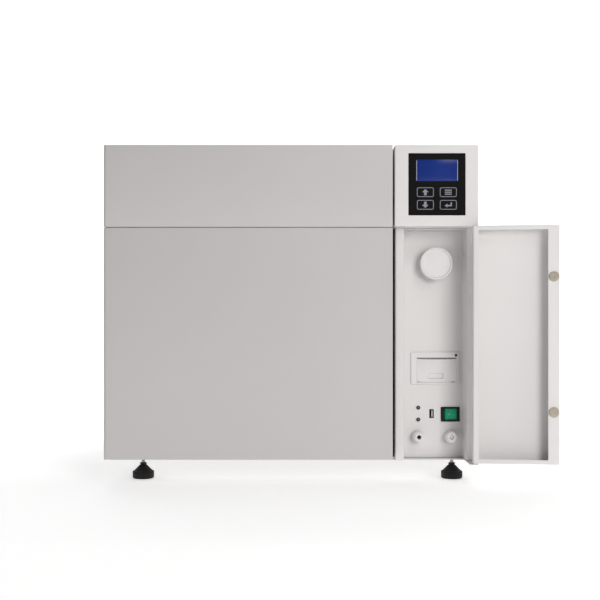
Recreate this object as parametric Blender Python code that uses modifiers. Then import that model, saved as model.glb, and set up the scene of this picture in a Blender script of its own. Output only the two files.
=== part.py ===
"""Benchtop autoclave: painted cabinet, side-hung main door over a pressure chamber, control head,
and a service compartment whose narrow tray door stands open.

Lengths are in metres. Pieces are laid out from the body's left side (x), its front plane (y, towards
the back) and the table (z, up); at() moves such a place into the part's frame, whose origin is under
the middle of the part on the table.
"""
import math

import bmesh
import bpy
from mathutils import Matrix, Vector

# Driving dimensions, from the body's left side, the front plane and the table.
BODY_WIDTH = 0.6174
BODY_TOP = 0.5614
BACK = 0.690
BASE_Z = 0.035
FRAME_FRONT = 0.055
SHEET = 0.0015
GAP = 0.0003

MAIN_WIDTH = 0.4764
MAIN_DEPTH = 0.050
MAIN_BOTTOM = 0.043
MAIN_AXIS = (0.010, 0.030)
GROOVE_Z = 0.4255
BRACKET_HEIGHTS = {"lower": 0.110, "upper": 0.478}

CHAMBER_X = 0.238
CHAMBER_Z = 0.305
CHAMBER_R = 0.150
FLANGE_Y = 0.0665
CHAMBER_DEPTH = 0.440

HEAD_LEFT = 0.480
HEAD_BOTTOM = 0.4273
KEY_SIZE = (0.0292, 0.0168)
KEY_PLACES = {"key_up": (0.5301, 0.4834), "key_menu": (0.5679, 0.4834),
              "key_down": (0.5301, 0.4626), "key_enter": (0.5679, 0.4626)}
LCD = (0.5150, 0.5017, 0.5841, 0.5373)
PANEL = (0.5024, 0.4454, 0.5961, 0.5474)

STRIP_Y = 0.034
FLOOR_Y = 0.075
COLUMN_BOTTOM = 0.0374
FILTER = (0.5547, 0.3688)
PRINTER = (0.5559, 0.1901)
FLAP = (0.5582, 0.1871)
FEED_BUTTON = (0.5915, 0.2124)
LAMPS = {"indicator_upper": (0.5269, 0.1225), "indicator_lower": (0.5269, 0.1020)}
USB = (0.5498, 0.1121)
SWITCH = (0.5819, 0.1112)
ROCKER_AXIS = (0.5819, 0.0838)
ROCKER_TILT = math.radians(7)
COUPLERS = {"fill": (0.5259, 0.0740), "drain": (0.5812, 0.0740)}

# The service door is laid out shut, and stands open by REST_ANGLE about its pivots.
DOOR_LEFT = 0.4804
DOOR_RIGHT = 0.6179
DOOR_BOTTOM = 0.0395
DOOR_TOP = 0.4266
DOOR_DEPTH = 0.0295
DOOR_AXIS = (0.6132, 0.004)
REST_ANGLE = math.radians(173)
MAGNET_R = 0.0082
MAGNET_PROUD = 0.0025
MAGNET_INSET = 0.009

FEET = {"foot_front_left": (0.053, 0.086), "foot_front_right": (0.586, 0.086),
        "foot_rear_left": (0.053, 0.640), "foot_rear_right": (0.586, 0.640)}


def swung(x, y):
    """Where a place on the shut service door comes to when the door stands open."""
    dx, dy = x - DOOR_AXIS[0], y - DOOR_AXIS[1]
    turn, lift = math.cos(REST_ANGLE), math.sin(REST_ANGLE)
    return DOOR_AXIS[0] + dx * turn - dy * lift, DOOR_AXIS[1] + dx * lift + dy * turn


# The open door reaches further right than the body, and its magnets further forward.
RIGHTMOST = swung(DOOR_LEFT, 0)[0]
FOREMOST = swung(DOOR_LEFT + MAGNET_INSET - MAGNET_R, DOOR_DEPTH + MAGNET_PROUD)[1]
REARMOST = 0.700
CENTRE = Vector((RIGHTMOST / 2, (FOREMOST + REARMOST) / 2, 0.0))

TOWARDS_FRONT = (math.pi / 2, 0, 0)
TOWARDS_BACK = (-math.pi / 2, 0, 0)
UPRIGHT = (0, 0, 0)
SIDEWAYS = (0, math.pi / 2, 0)


def at(x, y, z):
    return Vector((x, y, z)) - CENTRE


def clear_scene():
    for old in list(bpy.data.objects):
        bpy.data.objects.remove(old, do_unlink=True)


def make_collection(name):
    group = bpy.data.collections.new(name)
    bpy.context.scene.collection.children.link(group)
    return group


clear_scene()
PARTS = make_collection("benchtop_autoclave")
CUTTERS = make_collection("cutters")


def material(name, colour, roughness, metallic=0.0):
    found = bpy.data.materials.get(name)
    if found:
        return found
    made = bpy.data.materials.new(name)
    made.use_nodes = True
    shader = made.node_tree.nodes["Principled BSDF"]
    shader.inputs["Base Color"].default_value = (*colour, 1.0)
    shader.inputs["Roughness"].default_value = roughness
    shader.inputs["Metallic"].default_value = metallic
    return made


WHITE_PAINT = material("white_paint", (0.62, 0.61, 0.60), 0.45)
DOOR_PAINT = material("door_paint", (0.55, 0.54, 0.53), 0.45)
BLACK_PLASTIC = material("black_plastic", (0.01, 0.01, 0.012), 0.4)
WHITE_PLASTIC = material("white_plastic", (0.72, 0.71, 0.70), 0.4)
GREY_PLASTIC = material("grey_plastic", (0.30, 0.31, 0.32), 0.5)
STEEL = material("stainless_steel", (0.55, 0.55, 0.56), 0.3, 1.0)
RUBBER = material("silicone_rubber", (0.45, 0.12, 0.08), 0.7)
BLUE_GLASS = material("display_blue", (0.012, 0.03, 0.17), 0.2)
GREEN = material("green_lens", (0.01, 0.29, 0.12), 0.3)
BRASS = material("brass", (0.60, 0.45, 0.18), 0.3, 1.0)
BOARD = material("circuit_board", (0.02, 0.16, 0.06), 0.5)
PAPER = material("thermal_paper", (0.80, 0.80, 0.78), 0.8)
LAGGING = material("lagging", (0.42, 0.42, 0.44), 0.7)
MAGNET = material("magnet", (0.50, 0.47, 0.40), 0.4, 0.6)


def adopt(name, mesh, finish, group=None):
    """Make an object of a mesh, in the parts unless another group is given."""
    piece = bpy.data.objects.new(name, mesh)
    (group or PARTS).objects.link(piece)
    if finish:
        mesh.materials.append(finish)
    return piece


def cube_mesh(name, size):
    mesh = bpy.data.meshes.new(name)
    shape = bmesh.new()
    bmesh.ops.create_cube(shape, size=1.0)
    bmesh.ops.scale(shape, vec=size, verts=shape.verts)
    shape.to_mesh(mesh)
    shape.free()
    return mesh


def box(name, low, high, finish, rounding=0.0, segments=2, group=None):
    """A block between two corners, its edges rounded if asked."""
    low, high = Vector(low), Vector(high)
    piece = adopt(name, cube_mesh(name, high - low), finish, group)
    piece.location = at(*((low + high) / 2))
    if rounding:
        soft = piece.modifiers.new("rounding", 'BEVEL')
        soft.width = rounding
        soft.segments = segments
        soft.limit_method = 'ANGLE'
    return piece


def turned(name, profile, place, turn, finish, steps=32, ring=False, group=None):
    """A turned piece: its profile of (radius, height) runs from the top down the outer side."""
    mesh = bpy.data.meshes.new(name)
    shape = bmesh.new()
    points = [shape.verts.new((radius, 0, height)) for radius, height in profile]
    pairs = list(zip(points, points[1:]))
    if ring:
        pairs.append((points[-1], points[0]))
    for first, second in pairs:
        shape.edges.new((first, second))
    shape.to_mesh(mesh)
    shape.free()
    piece = adopt(name, mesh, finish, group)
    piece.location = at(*place)
    piece.rotation_euler = turn
    lathe = piece.modifiers.new("lathe", 'SCREW')
    lathe.steps = lathe.render_steps = steps
    lathe.use_merge_vertices = True
    lathe.merge_threshold = 0.00001
    return piece


def rod_profile(radius, top, bottom):
    return [(0, top), (radius, top), (radius, bottom), (0, bottom)]


def tube_profile(outer, inner, top, bottom):
    return [(inner, top), (outer, top), (outer, bottom), (inner, bottom)]


def rod(name, radius, place, turn, top, bottom, finish, steps=24, group=None):
    return turned(name, rod_profile(radius, top, bottom), place, turn, finish, steps, group=group)


def hide(cutter):
    cutter.hide_render = True
    cutter.display_type = 'WIRE'
    return cutter


def combine(piece, other, how):
    hide(other)
    step = piece.modifiers.new(other.name, 'BOOLEAN')
    step.operation = how
    step.object = other


def cut_box(piece, low, high, label="opening"):
    combine(piece, box(f"{piece.name}_{label}", low, high, None, group=CUTTERS), 'DIFFERENCE')


def cut_round(piece, radius, place, turn, top, bottom, label="hole", steps=24):
    tool = rod(f"{piece.name}_{label}", radius, place, turn, top, bottom, None, steps, CUTTERS)
    combine(piece, tool, 'DIFFERENCE')


def join_box(piece, low, high, label="block"):
    combine(piece, box(f"{piece.name}_{label}", low, high, None, group=CUTTERS), 'UNION')


def join_rod(piece, radius, place, turn, top, bottom, label="boss", steps=24):
    tool = rod(f"{piece.name}_{label}", radius, place, turn, top, bottom, None, steps, CUTTERS)
    combine(piece, tool, 'UNION')


def centred(x, z, width, height, front, back):
    """Corners of a block centred on a place in the front view, between two depths."""
    return ((x - width / 2, front, z - height / 2), (x + width / 2, back, z + height / 2))


def folded_sheet(name, plan, bottom, top, thickness, finish):
    """Sheet metal folded along upright lines: a plan line pulled up, then thickened behind."""
    mesh = bpy.data.meshes.new(name)
    shape = bmesh.new()
    points = [shape.verts.new(at(x, y, bottom)) for x, y in plan]
    edges = [shape.edges.new(pair) for pair in zip(points, points[1:])]
    pulled = bmesh.ops.extrude_edge_only(shape, edges=edges)
    raised = [part for part in pulled["geom"] if isinstance(part, bmesh.types.BMVert)]
    bmesh.ops.translate(shape, verts=raised, vec=(0, 0, top - bottom))
    bmesh.ops.recalc_face_normals(shape, faces=shape.faces)
    shape.normal_update()
    if sum(face.calc_area() * face.normal.y for face in shape.faces) > 0:
        bmesh.ops.reverse_faces(shape, faces=shape.faces)
    shape.to_mesh(mesh)
    shape.free()
    piece = adopt(name, mesh, finish)
    wall = piece.modifiers.new("thickness", 'SOLIDIFY')
    wall.thickness = thickness
    wall.offset = -1.0
    wall.use_even_offset = True
    return piece


# ---- Casing -------------------------------------------------------------------------------------

def make_base_plate():
    plate = box("base_plate", (0.002, 0.0585, BASE_Z), (0.6154, 0.688, BASE_Z + 0.002), WHITE_PAINT)
    join_box(plate, (0.603, -0.004, BASE_Z), (0.6170, 0.0600, BASE_Z + 0.002), "pivot_tongue")
    for name, (x, y) in FEET.items():
        cut_round(plate, 0.0043, (x, y, BASE_Z), UPRIGHT, 0.01, -0.01, name, 16)
    cut_round(plate, 0.0025, (*DOOR_AXIS, BASE_Z), UPRIGHT, 0.01, -0.01, "pivot", 16)


def make_cover():
    cover = box("cabinet_cover", (0, FRAME_FRONT + 0.0024, COLUMN_BOTTOM), (BODY_WIDTH, BACK, BODY_TOP),
                WHITE_PAINT)
    cut_box(cover, (SHEET, 0.0, 0.0), (BODY_WIDTH - SHEET, BACK + 0.1, BODY_TOP - SHEET), "inside")


def make_rear_panel():
    low, high = (0.0018, BACK - 0.0035, COLUMN_BOTTOM), (BODY_WIDTH - 0.0018, BACK - 0.0015, 0.5596)
    panel = box("rear_panel", low, high, WHITE_PAINT)
    through = (BACK - 0.02, BACK + 0.02)
    for row in range(6):
        z = 0.300 + 0.018 * row
        cut_box(panel, (0.080, through[0], z), (0.300, through[1], z + 0.006), f"vent_{row}")
    cut_round(panel, 0.052, (0.500, BACK, 0.420), TOWARDS_FRONT, 0.02, -0.02, "fan_opening", 32)
    cut_box(panel, *centred(0.545, 0.110, 0.0480, 0.0280, *through), "inlet_opening")
    cut_round(panel, 0.0113, (0.110, BACK, 0.500), TOWARDS_FRONT, 0.02, -0.02, "valve_opening")


def make_front_frame():
    frame = box("front_frame", (0, FRAME_FRONT, COLUMN_BOTTOM), (BODY_WIDTH, FRAME_FRONT + 0.002, BODY_TOP),
                WHITE_PAINT)
    cut_box(frame, (0.4840, 0, 0), (0.7, 0.1, HEAD_BOTTOM + 0.0004), "service_opening")
    cut_round(frame, 0.1735, (CHAMBER_X, FRAME_FRONT, CHAMBER_Z), TOWARDS_FRONT, 0.02, -0.02, "door_ring", 64)
    cut_round(frame, 0.0056, (0.455, FRAME_FRONT, CHAMBER_Z), TOWARDS_FRONT, 0.02, -0.02, "bolt_hole", 16)
    cut_round(frame, 0.0150, (0.549, FRAME_FRONT, 0.495), TOWARDS_FRONT, 0.02, -0.02, "cable_hole", 16)
    for label, z in BRACKET_HEIGHTS.items():
        cut_box(frame, (0.0037, 0, z - 0.0057), (0.0163, 0.1, z + 0.0057), f"{label}_bracket_slot")


def make_hinge_brackets():
    for label, z in BRACKET_HEIGHTS.items():
        flange_y = FRAME_FRONT + 0.0023
        arm = box(f"hinge_bracket_{label}", (0.004, 0.024, z - 0.005), (0.016, flange_y + 0.002, z + 0.005),
                  STEEL)
        join_box(arm, (0.004, flange_y, z - 0.025), (0.040, flange_y + 0.003, z + 0.025), "flange")
        join_rod(arm, 0.0040, (*MAIN_AXIS, z), UPRIGHT, 0.022, 0.0, "stud", 16)


# ---- Main door ----------------------------------------------------------------------------------

def make_main_door():
    cover = box("main_door_cover", (0, 0, MAIN_BOTTOM), (MAIN_WIDTH, MAIN_DEPTH, BODY_TOP), DOOR_PAINT, 0.0025)
    cut_box(cover, (SHEET, 0.003, MAIN_BOTTOM + SHEET),
            (MAIN_WIDTH - SHEET, MAIN_DEPTH + 0.02, BODY_TOP - SHEET), "inside")
    cut_box(cover, (0.005, -0.01, GROOVE_Z - 0.0012), (MAIN_WIDTH - 0.004, 0.0016, GROOVE_Z + 0.0012), "groove")
    for label, z in BRACKET_HEIGHTS.items():
        cut_box(cover, (-0.01, 0.019, z - 0.007), (0.0025, 0.07, z + 0.007), f"{label}_notch")

    liner = box("main_door_liner", (0.003, 0.044, 0.046), (0.4734, 0.0495, 0.5584), WHITE_PLASTIC)
    for label, z in BRACKET_HEIGHTS.items():
        join_box(liner, (0.0035, 0.0235, z + 0.0065), (0.0165, 0.0450, z + 0.025), f"{label}_knuckle")
        cut_box(liner, (-0.01, 0.019, z - 0.007), (0.0280, 0.07, z + 0.0062), f"{label}_notch")
        cut_round(liner, 0.0044, (*MAIN_AXIS, z), UPRIGHT, 0.0235, 0.0, f"{label}_pivot", 16)
    cut_box(liner, *centred(0.455, CHAMBER_Z, 0.0120, 0.0120, 0.04, 0.06), "bolt_hole")

    centre = (CHAMBER_X, 0.0, CHAMBER_Z)
    front, back = -0.0498, -0.0600
    turned("pressure_lid", [(0, front), (0.165, front), (0.165, back), (0.120, back), (0.105, back + 0.006),
                            (0, back + 0.006)], centre, TOWARDS_FRONT, STEEL, 64)
    turned("lid_gasket", tube_profile(0.1615, 0.1535, back - GAP, -FLANGE_Y + GAP), centre, TOWARDS_FRONT,
           RUBBER, 64, ring=True)


def make_lock():
    place = (0.455, 0.0, CHAMBER_Z)
    rod("door_lock_bolt", 0.0050, place, TOWARDS_FRONT, -0.0540, -0.0880, STEEL, 16)
    housing = box("lock_solenoid", *centred(0.455, CHAMBER_Z, 0.030, 0.040, FRAME_FRONT + 0.0023, 0.110),
                  GREY_PLASTIC)
    cut_round(housing, 0.0053, place, TOWARDS_FRONT, 0.0, -0.092, "bolt_guide", 16)


# ---- Chamber ------------------------------------------------------------------------------------

def make_chamber():
    centre = (CHAMBER_X, FLANGE_Y, CHAMBER_Z)
    r, wall = CHAMBER_R, 0.002
    turned("pressure_chamber",
           [(0, -CHAMBER_DEPTH), (0.090, -CHAMBER_DEPTH + 0.008), (r, -CHAMBER_DEPTH + 0.030), (r, 0),
            (0.170, 0), (0.170, -0.012), (r + wall, -0.012), (r + wall, -CHAMBER_DEPTH + 0.029),
            (0.091, -CHAMBER_DEPTH + 0.006), (0, -CHAMBER_DEPTH - wall)], centre, TOWARDS_FRONT, STEEL, 48)
    turned("insulation_jacket", tube_profile(0.172, r + wall + GAP, -0.0125, -0.405), centre, TOWARDS_FRONT,
           LAGGING, 48, ring=True)
    cradle = box("chamber_cradle", (0.118, 0.110, BASE_Z + 0.0023), (0.358, 0.446, 0.200), STEEL)
    cut_box(cradle, (0.0, 0.113, BASE_Z + 0.0053), (0.5, 0.443, 0.3), "inside")
    cut_round(cradle, 0.1723, centre, TOWARDS_FRONT, 0, -0.5, "saddle", 48)


def rack_outline():
    """Section of the tray rack: two upright walls with three pairs of ledges, and a floor."""
    half, wall, ledge, floor, top = 0.105, 0.0015, 0.012, -0.095, 0.080
    right = [(half, floor), (half, top), (half - wall, top)]
    for level in (0.040, -0.010, -0.060):
        right += [(half - wall, level), (half - wall - ledge, level), (half - wall - ledge, level - wall),
                  (half - wall, level - wall)]
    right.append((half - wall, floor + wall))
    return right + [(-x, z) for x, z in reversed(right)]


def make_rack():
    outline = rack_outline()
    line = bpy.data.curves.new("tray_rack", 'CURVE')
    line.dimensions = '2D'
    line.fill_mode = 'BOTH'
    line.extrude = 0.190
    line.render_resolution_u = 0
    spline = line.splines.new('POLY')
    spline.points.add(len(outline) - 1)
    for point, (x, z) in zip(spline.points, outline):
        point.co = (x, z, 0, 1)
    spline.use_cyclic_u = True
    rack = bpy.data.objects.new("tray_rack", line)
    PARTS.objects.link(rack)
    line.materials.append(STEEL)
    rack.location = at(CHAMBER_X, 0.275, CHAMBER_Z)
    rack.rotation_euler = TOWARDS_FRONT
    for name, level in (("tray_upper", 0.040), ("tray_middle", -0.010), ("tray_lower", -0.060)):
        z = CHAMBER_Z + level + GAP
        low, high = (CHAMBER_X - 0.100, 0.095, z), (CHAMBER_X + 0.100, 0.455, z + 0.014)
        tray = box(name, low, high, STEEL)
        cut_box(tray, (low[0] + SHEET, low[1] + SHEET, z + SHEET), (high[0] - SHEET, high[1] - SHEET, z + 0.1),
                "inside")


# ---- Control head -------------------------------------------------------------------------------

def make_head():
    head = box("control_head", (HEAD_LEFT, 0, HEAD_BOTTOM), (BODY_WIDTH, FRAME_FRONT - GAP, BODY_TOP),
               WHITE_PAINT, 0.0020)
    cut_box(head, (HEAD_LEFT + 0.002, 0.002, HEAD_BOTTOM + 0.002),
            (BODY_WIDTH - 0.002, 0.1, BODY_TOP - 0.002), "inside")
    x0, z0, x1, z1 = PANEL
    cut_box(head, (x0 - GAP, -0.01, z0 - GAP), (x1 + GAP, 0.01, z1 + GAP), "panel_opening")
    cut_round(head, 0.0025, (*DOOR_AXIS, HEAD_BOTTOM), UPRIGHT, 0.01, -0.01, "pivot", 16)

    panel = box("keypad_panel", (x0, 0.0004, z0), (x1, 0.0034, z1), BLACK_PLASTIC)
    lx0, lz0, lx1, lz1 = LCD
    cut_box(panel, (lx0 - GAP, -0.01, lz0 - GAP), (lx1 + GAP, 0.01, lz1 + GAP), "display_opening")
    box("lcd_window", (lx0, 0.0006, lz0), (lx1, 0.0060, lz1), BLUE_GLASS)
    for name, (x, z) in KEY_PLACES.items():
        width, height = KEY_SIZE
        cut_box(panel, *centred(x, z, width + 2 * GAP, height + 2 * GAP, -0.01, 0.01), name)
        box(name, *centred(x, z, width, height, 0.0002, 0.0044), BLACK_PLASTIC)
    box("control_board", (0.505, 0.0080, 0.448), (0.594, 0.0096, 0.545), BOARD)


# ---- Service compartment ------------------------------------------------------------------------

def make_recess():
    plan = [(0.4846, 0.0550), (0.4846, STRIP_Y), (0.4978, STRIP_Y), (0.5020, FLOOR_Y), (0.6030, FLOOR_Y),
            (0.6048, STRIP_Y), (BODY_WIDTH, STRIP_Y), (BODY_WIDTH, 0.0570)]
    recess = folded_sheet("service_recess", plan, COLUMN_BOTTOM, HEAD_BOTTOM - GAP, SHEET, WHITE_PAINT)
    through = (FLOOR_Y - 0.01, FLOOR_Y + 0.01)
    cut_round(recess, 0.0123, (FILTER[0], FLOOR_Y, FILTER[1]), TOWARDS_FRONT, 0.01, -0.01, "filter_port")
    cut_box(recess, *centred(*PRINTER, 0.0766, 0.0486, *through), "printer_opening")
    cut_box(recess, *centred(*USB, 0.0075, 0.0152, *through), "usb_opening")
    cut_box(recess, *centred(*SWITCH, 0.0286, 0.0226, *through), "switch_opening")
    for name, (x, z) in LAMPS.items():
        cut_round(recess, 0.0025, (x, FLOOR_Y, z), TOWARDS_FRONT, 0.01, -0.01, name, 12)
    for name, (x, z) in COUPLERS.items():
        cut_round(recess, 0.0073, (x, FLOOR_Y, z), TOWARDS_FRONT, 0.01, -0.01, f"{name}_port")


def make_filter():
    place = (FILTER[0], 0.0, FILTER[1])
    face = -FLOOR_Y + GAP
    turned("filter_socket", [(0.0060, face + 0.0040), (0.0160, face + 0.0040), (0.0160, face), (0.0120, face),
                             (0.0120, -0.0950), (0.0060, -0.0950)], place, TOWARDS_FRONT, WHITE_PLASTIC, 32,
           ring=True)
    turned("air_filter", [(0, -0.0478), (0.0235, -0.0478), (0.0240, -0.0468), (0.0268, -0.0468),
                          (0.0275, -0.0478), (0.0275, -0.0630), (0.0230, -0.0660), (0.0120, -0.0660),
                          (0.0120, face + 0.0043), (0.0056, face + 0.0043), (0.0056, -0.0860), (0, -0.0860)],
           place, TOWARDS_FRONT, WHITE_PLASTIC, 40)


def make_printer():
    body = box("printer_body", *centred(*PRINTER, 0.0836, 0.0556, 0.0715, FLOOR_Y - GAP), WHITE_PLASTIC)
    join_box(body, *centred(*PRINTER, 0.0760, 0.0480, 0.0740, 0.125), "case")
    x, z = FLAP
    width, height = 0.0666, 0.0413
    cut_box(body, *centred(x, z, width + 0.0010, height + 0.0010, 0.05, 0.118), "paper_bay")
    cut_round(body, 0.0022, (FEED_BUTTON[0], 0.0, FEED_BUTTON[1]), TOWARDS_FRONT, -0.05, -0.080, "button_hole", 12)

    flap = box("printer_flap", *centred(x, z, width, height, 0.0718, 0.0740), WHITE_PLASTIC)
    join_box(flap, *centred(x - 0.0012, 0.1770, 0.0200, 0.0060, 0.0712, 0.0730), "finger_lip")
    roll_place = (x, 0.0960, z)
    turned("paper_roll", tube_profile(0.0180, 0.0060, 0.0285, -0.0285), roll_place, SIDEWAYS, PAPER, 24, ring=True)
    rod("printer_button", 0.0019, (FEED_BUTTON[0], 0.0, FEED_BUTTON[1]), TOWARDS_FRONT, -0.0707, -0.0770,
        BLACK_PLASTIC, 12)


def make_ports():
    usb = box("usb_socket", *centred(*USB, 0.0069, 0.0146, FLOOR_Y - 0.0004, 0.092), STEEL)
    cut_box(usb, *centred(*USB, 0.0049, 0.0126, FLOOR_Y - 0.01, 0.088), "mouth")
    frame = box("switch_frame", *centred(*SWITCH, 0.0325, 0.0253, 0.0725, FLOOR_Y - GAP), BLACK_PLASTIC)
    join_box(frame, *centred(*SWITCH, 0.0280, 0.0220, 0.0740, 0.100), "case")
    cut_box(frame, *centred(*SWITCH, 0.0228, 0.0198, 0.05, 0.092), "rocker_opening")
    rocker = rod("switch_rocker", 0.0130, (*ROCKER_AXIS, SWITCH[1]), (0, 0, ROCKER_TILT), 0.0093, -0.0093,
                 GREEN, 48)
    keep = box("switch_rocker_sides", *centred(*SWITCH, 0.0202, 0.03, 0.05, ROCKER_AXIS[1] + 0.0067), None,
               group=CUTTERS)
    swing = Matrix.Rotation(ROCKER_TILT, 3, 'Z')
    keep.location = rocker.location + swing @ (keep.location - rocker.location)
    keep.rotation_euler = (0, 0, ROCKER_TILT)
    combine(rocker, keep, 'INTERSECT')
    for name, (x, z) in LAMPS.items():
        turned(name, [(0, -0.0728), (0.0020, -0.0732), (0.0032, -0.0736), (0.0032, -FLOOR_Y + GAP),
                      (0.0022, -FLOOR_Y + GAP), (0.0022, -0.0860), (0, -0.0860)], (x, 0.0, z), TOWARDS_FRONT,
               GREY_PLASTIC, 16)
    for name, (x, z) in COUPLERS.items():
        turned(f"{name}_coupler", [(0.0064, -0.0530), (0.0090, -0.0530), (0.0098, -0.0545), (0.0098, -0.0660),
                                   (0.0106, -0.0670), (0.0106, -FLOOR_Y + GAP), (0.0070, -FLOOR_Y + GAP),
                                   (0.0070, -0.0950), (0.0045, -0.0950), (0.0045, -0.0700), (0.0064, -0.0700)],
               (x, 0.0, z), TOWARDS_FRONT, WHITE_PLASTIC, 24, ring=True)
        turned(f"{name}_coupler_collet", [(0.0035, -0.0505), (0.0076, -0.0505), (0.0076, -0.0515),
                                          (0.0060, -0.0515), (0.0060, -0.0650), (0.0035, -0.0650)],
               (x, 0.0, z), TOWARDS_FRONT, WHITE_PLASTIC, 24, ring=True)


# ---- Service door -------------------------------------------------------------------------------

def make_service_door():
    t = 0.0012
    door = box("service_door", (DOOR_LEFT, 0, DOOR_BOTTOM), (DOOR_RIGHT, DOOR_DEPTH, DOOR_TOP), WHITE_PAINT)
    cut_box(door, (DOOR_LEFT + t, t, DOOR_BOTTOM + t), (DOOR_RIGHT - t, DOOR_DEPTH - t, DOOR_TOP - t), "inside")
    cut_box(door, (DOOR_LEFT + 0.018, 0.015, DOOR_BOTTOM + 0.007),
            (DOOR_RIGHT - 0.009, DOOR_DEPTH + 0.01, DOOR_TOP - 0.007), "mouth")
    for label, z in (("upper", DOOR_TOP), ("lower", DOOR_BOTTOM)):
        cut_round(door, 0.0025, (*DOOR_AXIS, z), UPRIGHT, 0.003, -0.003, f"{label}_pivot", 16)
    for label, z in (("upper", 0.343), ("lower", 0.124)):
        rod(f"door_magnet_{label}", MAGNET_R, (DOOR_LEFT + MAGNET_INSET, DOOR_DEPTH, z), TOWARDS_BACK,
            MAGNET_PROUD, GAP, MAGNET, 24)
    hang_on_pivots([piece for piece in bpy.data.objects if piece.name.startswith(("service_door", "door_magnet"))])
    rod("door_pivot_pin_upper", 0.0022, (*DOOR_AXIS, HEAD_BOTTOM), UPRIGHT, 0.0045, -0.0045, STEEL, 16)
    rod("door_pivot_pin_lower", 0.0022, (*DOOR_AXIS, BASE_Z), UPRIGHT, 0.0080, 0.0, STEEL, 16)


def hang_on_pivots(pieces):
    """Parent pieces that are laid out for the shut door to its axis, and swing the door open."""
    axis = bpy.data.objects.new("service_door_axis", None)
    PARTS.objects.link(axis)
    axis.location = at(*DOOR_AXIS, 0.0)
    for piece in pieces:
        piece.parent = axis
        piece.matrix_parent_inverse = Matrix.Translation(-axis.location)
    axis.rotation_euler = (0, 0, REST_ANGLE)


# ---- Feet and internals -------------------------------------------------------------------------

def make_feet():
    for name, (x, y) in FEET.items():
        turned(name, [(0, 0.0560), (0.0040, 0.0560), (0.0040, 0.0250), (0.0060, 0.0240), (0.0120, 0.0170),
                      (0.0135, 0.0165), (0.0178, 0.0120), (0.0185, 0.0100), (0.0185, 0.0025), (0.0165, 0),
                      (0, 0)], (x, y, 0.0), UPRIGHT, BLACK_PLASTIC, 24)


def make_internals():
    floor = BASE_Z + 0.0023
    generator = box("steam_generator", (0.440, 0.480, floor), (0.560, 0.620, 0.190), STEEL, 0.010, 2)
    join_rod(generator, 0.0100, (0.500, 0.550, 0.180), UPRIGHT, 0.040, 0.0, "outlet", 16)
    pump = box("vacuum_pump", (0.170, 0.150, 0.0408), (0.300, 0.380, 0.0900), GREY_PLASTIC, 0.004, 2)
    join_rod(pump, 0.0200, (0.235, 0.265, 0.080), UPRIGHT, 0.030, 0.0, "head", 24)
    tank = box("water_tank", (0.060, 0.120, 0.490), (0.430, 0.480, 0.5560), WHITE_PLASTIC, 0.006, 2)
    cut_box(tank, (0.063, 0.123, 0.493), (0.427, 0.477, 0.6), "inside")
    box("power_board", (0.490, 0.150, 0.220), (0.494, 0.400, 0.400), BOARD)
    inlet = box("power_inlet", *centred(0.545, 0.110, 0.0560, 0.0340, BACK - 0.0012, BACK + 0.004), BLACK_PLASTIC)
    join_box(inlet, *centred(0.545, 0.110, 0.0470, 0.0270, BACK - 0.030, BACK), "case")
    cut_box(inlet, *centred(0.545, 0.110, 0.0250, 0.0170, BACK - 0.020, BACK + 0.01), "socket")
    turned("safety_valve", [(0, 0.0100), (0.0080, 0.0100), (0.0090, 0.0080), (0.0090, 0.0000), (0.0110, -0.0010),
                            (0.0110, -0.0500), (0.0070, -0.0520), (0.0070, -0.0700), (0, -0.0700)],
           (0.110, BACK, 0.500), TOWARDS_BACK, BRASS, 24)


def make_fan():
    x, z = 0.500, 0.420
    frame = box("fan_frame", *centred(x, z, 0.119, 0.119, BACK - 0.0300, BACK - 0.0038), BLACK_PLASTIC)
    cut_round(frame, 0.0550, (x, BACK, z), TOWARDS_FRONT, 0.05, -0.02, "duct", 32)
    join_box(frame, *centred(x, z, 0.114, 0.006, BACK - 0.0290, BACK - 0.0260), "strut_across")
    join_box(frame, *centred(x, z, 0.006, 0.114, BACK - 0.0290, BACK - 0.0260), "strut_upright")
    rotor = rod("fan_rotor", 0.0200, (x, BACK, z), TOWARDS_FRONT, 0.0240, 0.0060, BLACK_PLASTIC, 24)
    blades = 5
    for number in range(blades):
        angle = 2 * math.pi * number / blades
        blade = adopt(f"fan_blade_{number}", cube_mesh("blade", (0.036, 0.0030, 0.022)), None, CUTTERS)
        reach = 0.0350
        blade.location = at(x + reach * math.cos(angle), BACK - 0.0150, z + reach * math.sin(angle))
        blade.rotation_euler = (0.45, -angle, 0)
        blade.rotation_mode = 'XYZ'
        combine(rotor, blade, 'UNION')


def shade_round_pieces():
    for piece in PARTS.objects:
        if piece.type == 'MESH':
            piece.data.shade_smooth()
            piece.data.set_sharp_from_angle(angle=math.radians(35))


make_base_plate()
make_cover()
make_rear_panel()
make_front_frame()
make_hinge_brackets()
make_main_door()
make_lock()
make_chamber()
make_rack()
make_head()
make_recess()
make_filter()
make_printer()
make_ports()
make_service_door()
make_feet()
make_internals()
make_fan()
shade_round_pieces()
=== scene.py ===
import math

import bmesh
import bpy
from mathutils import Matrix, Vector


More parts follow.
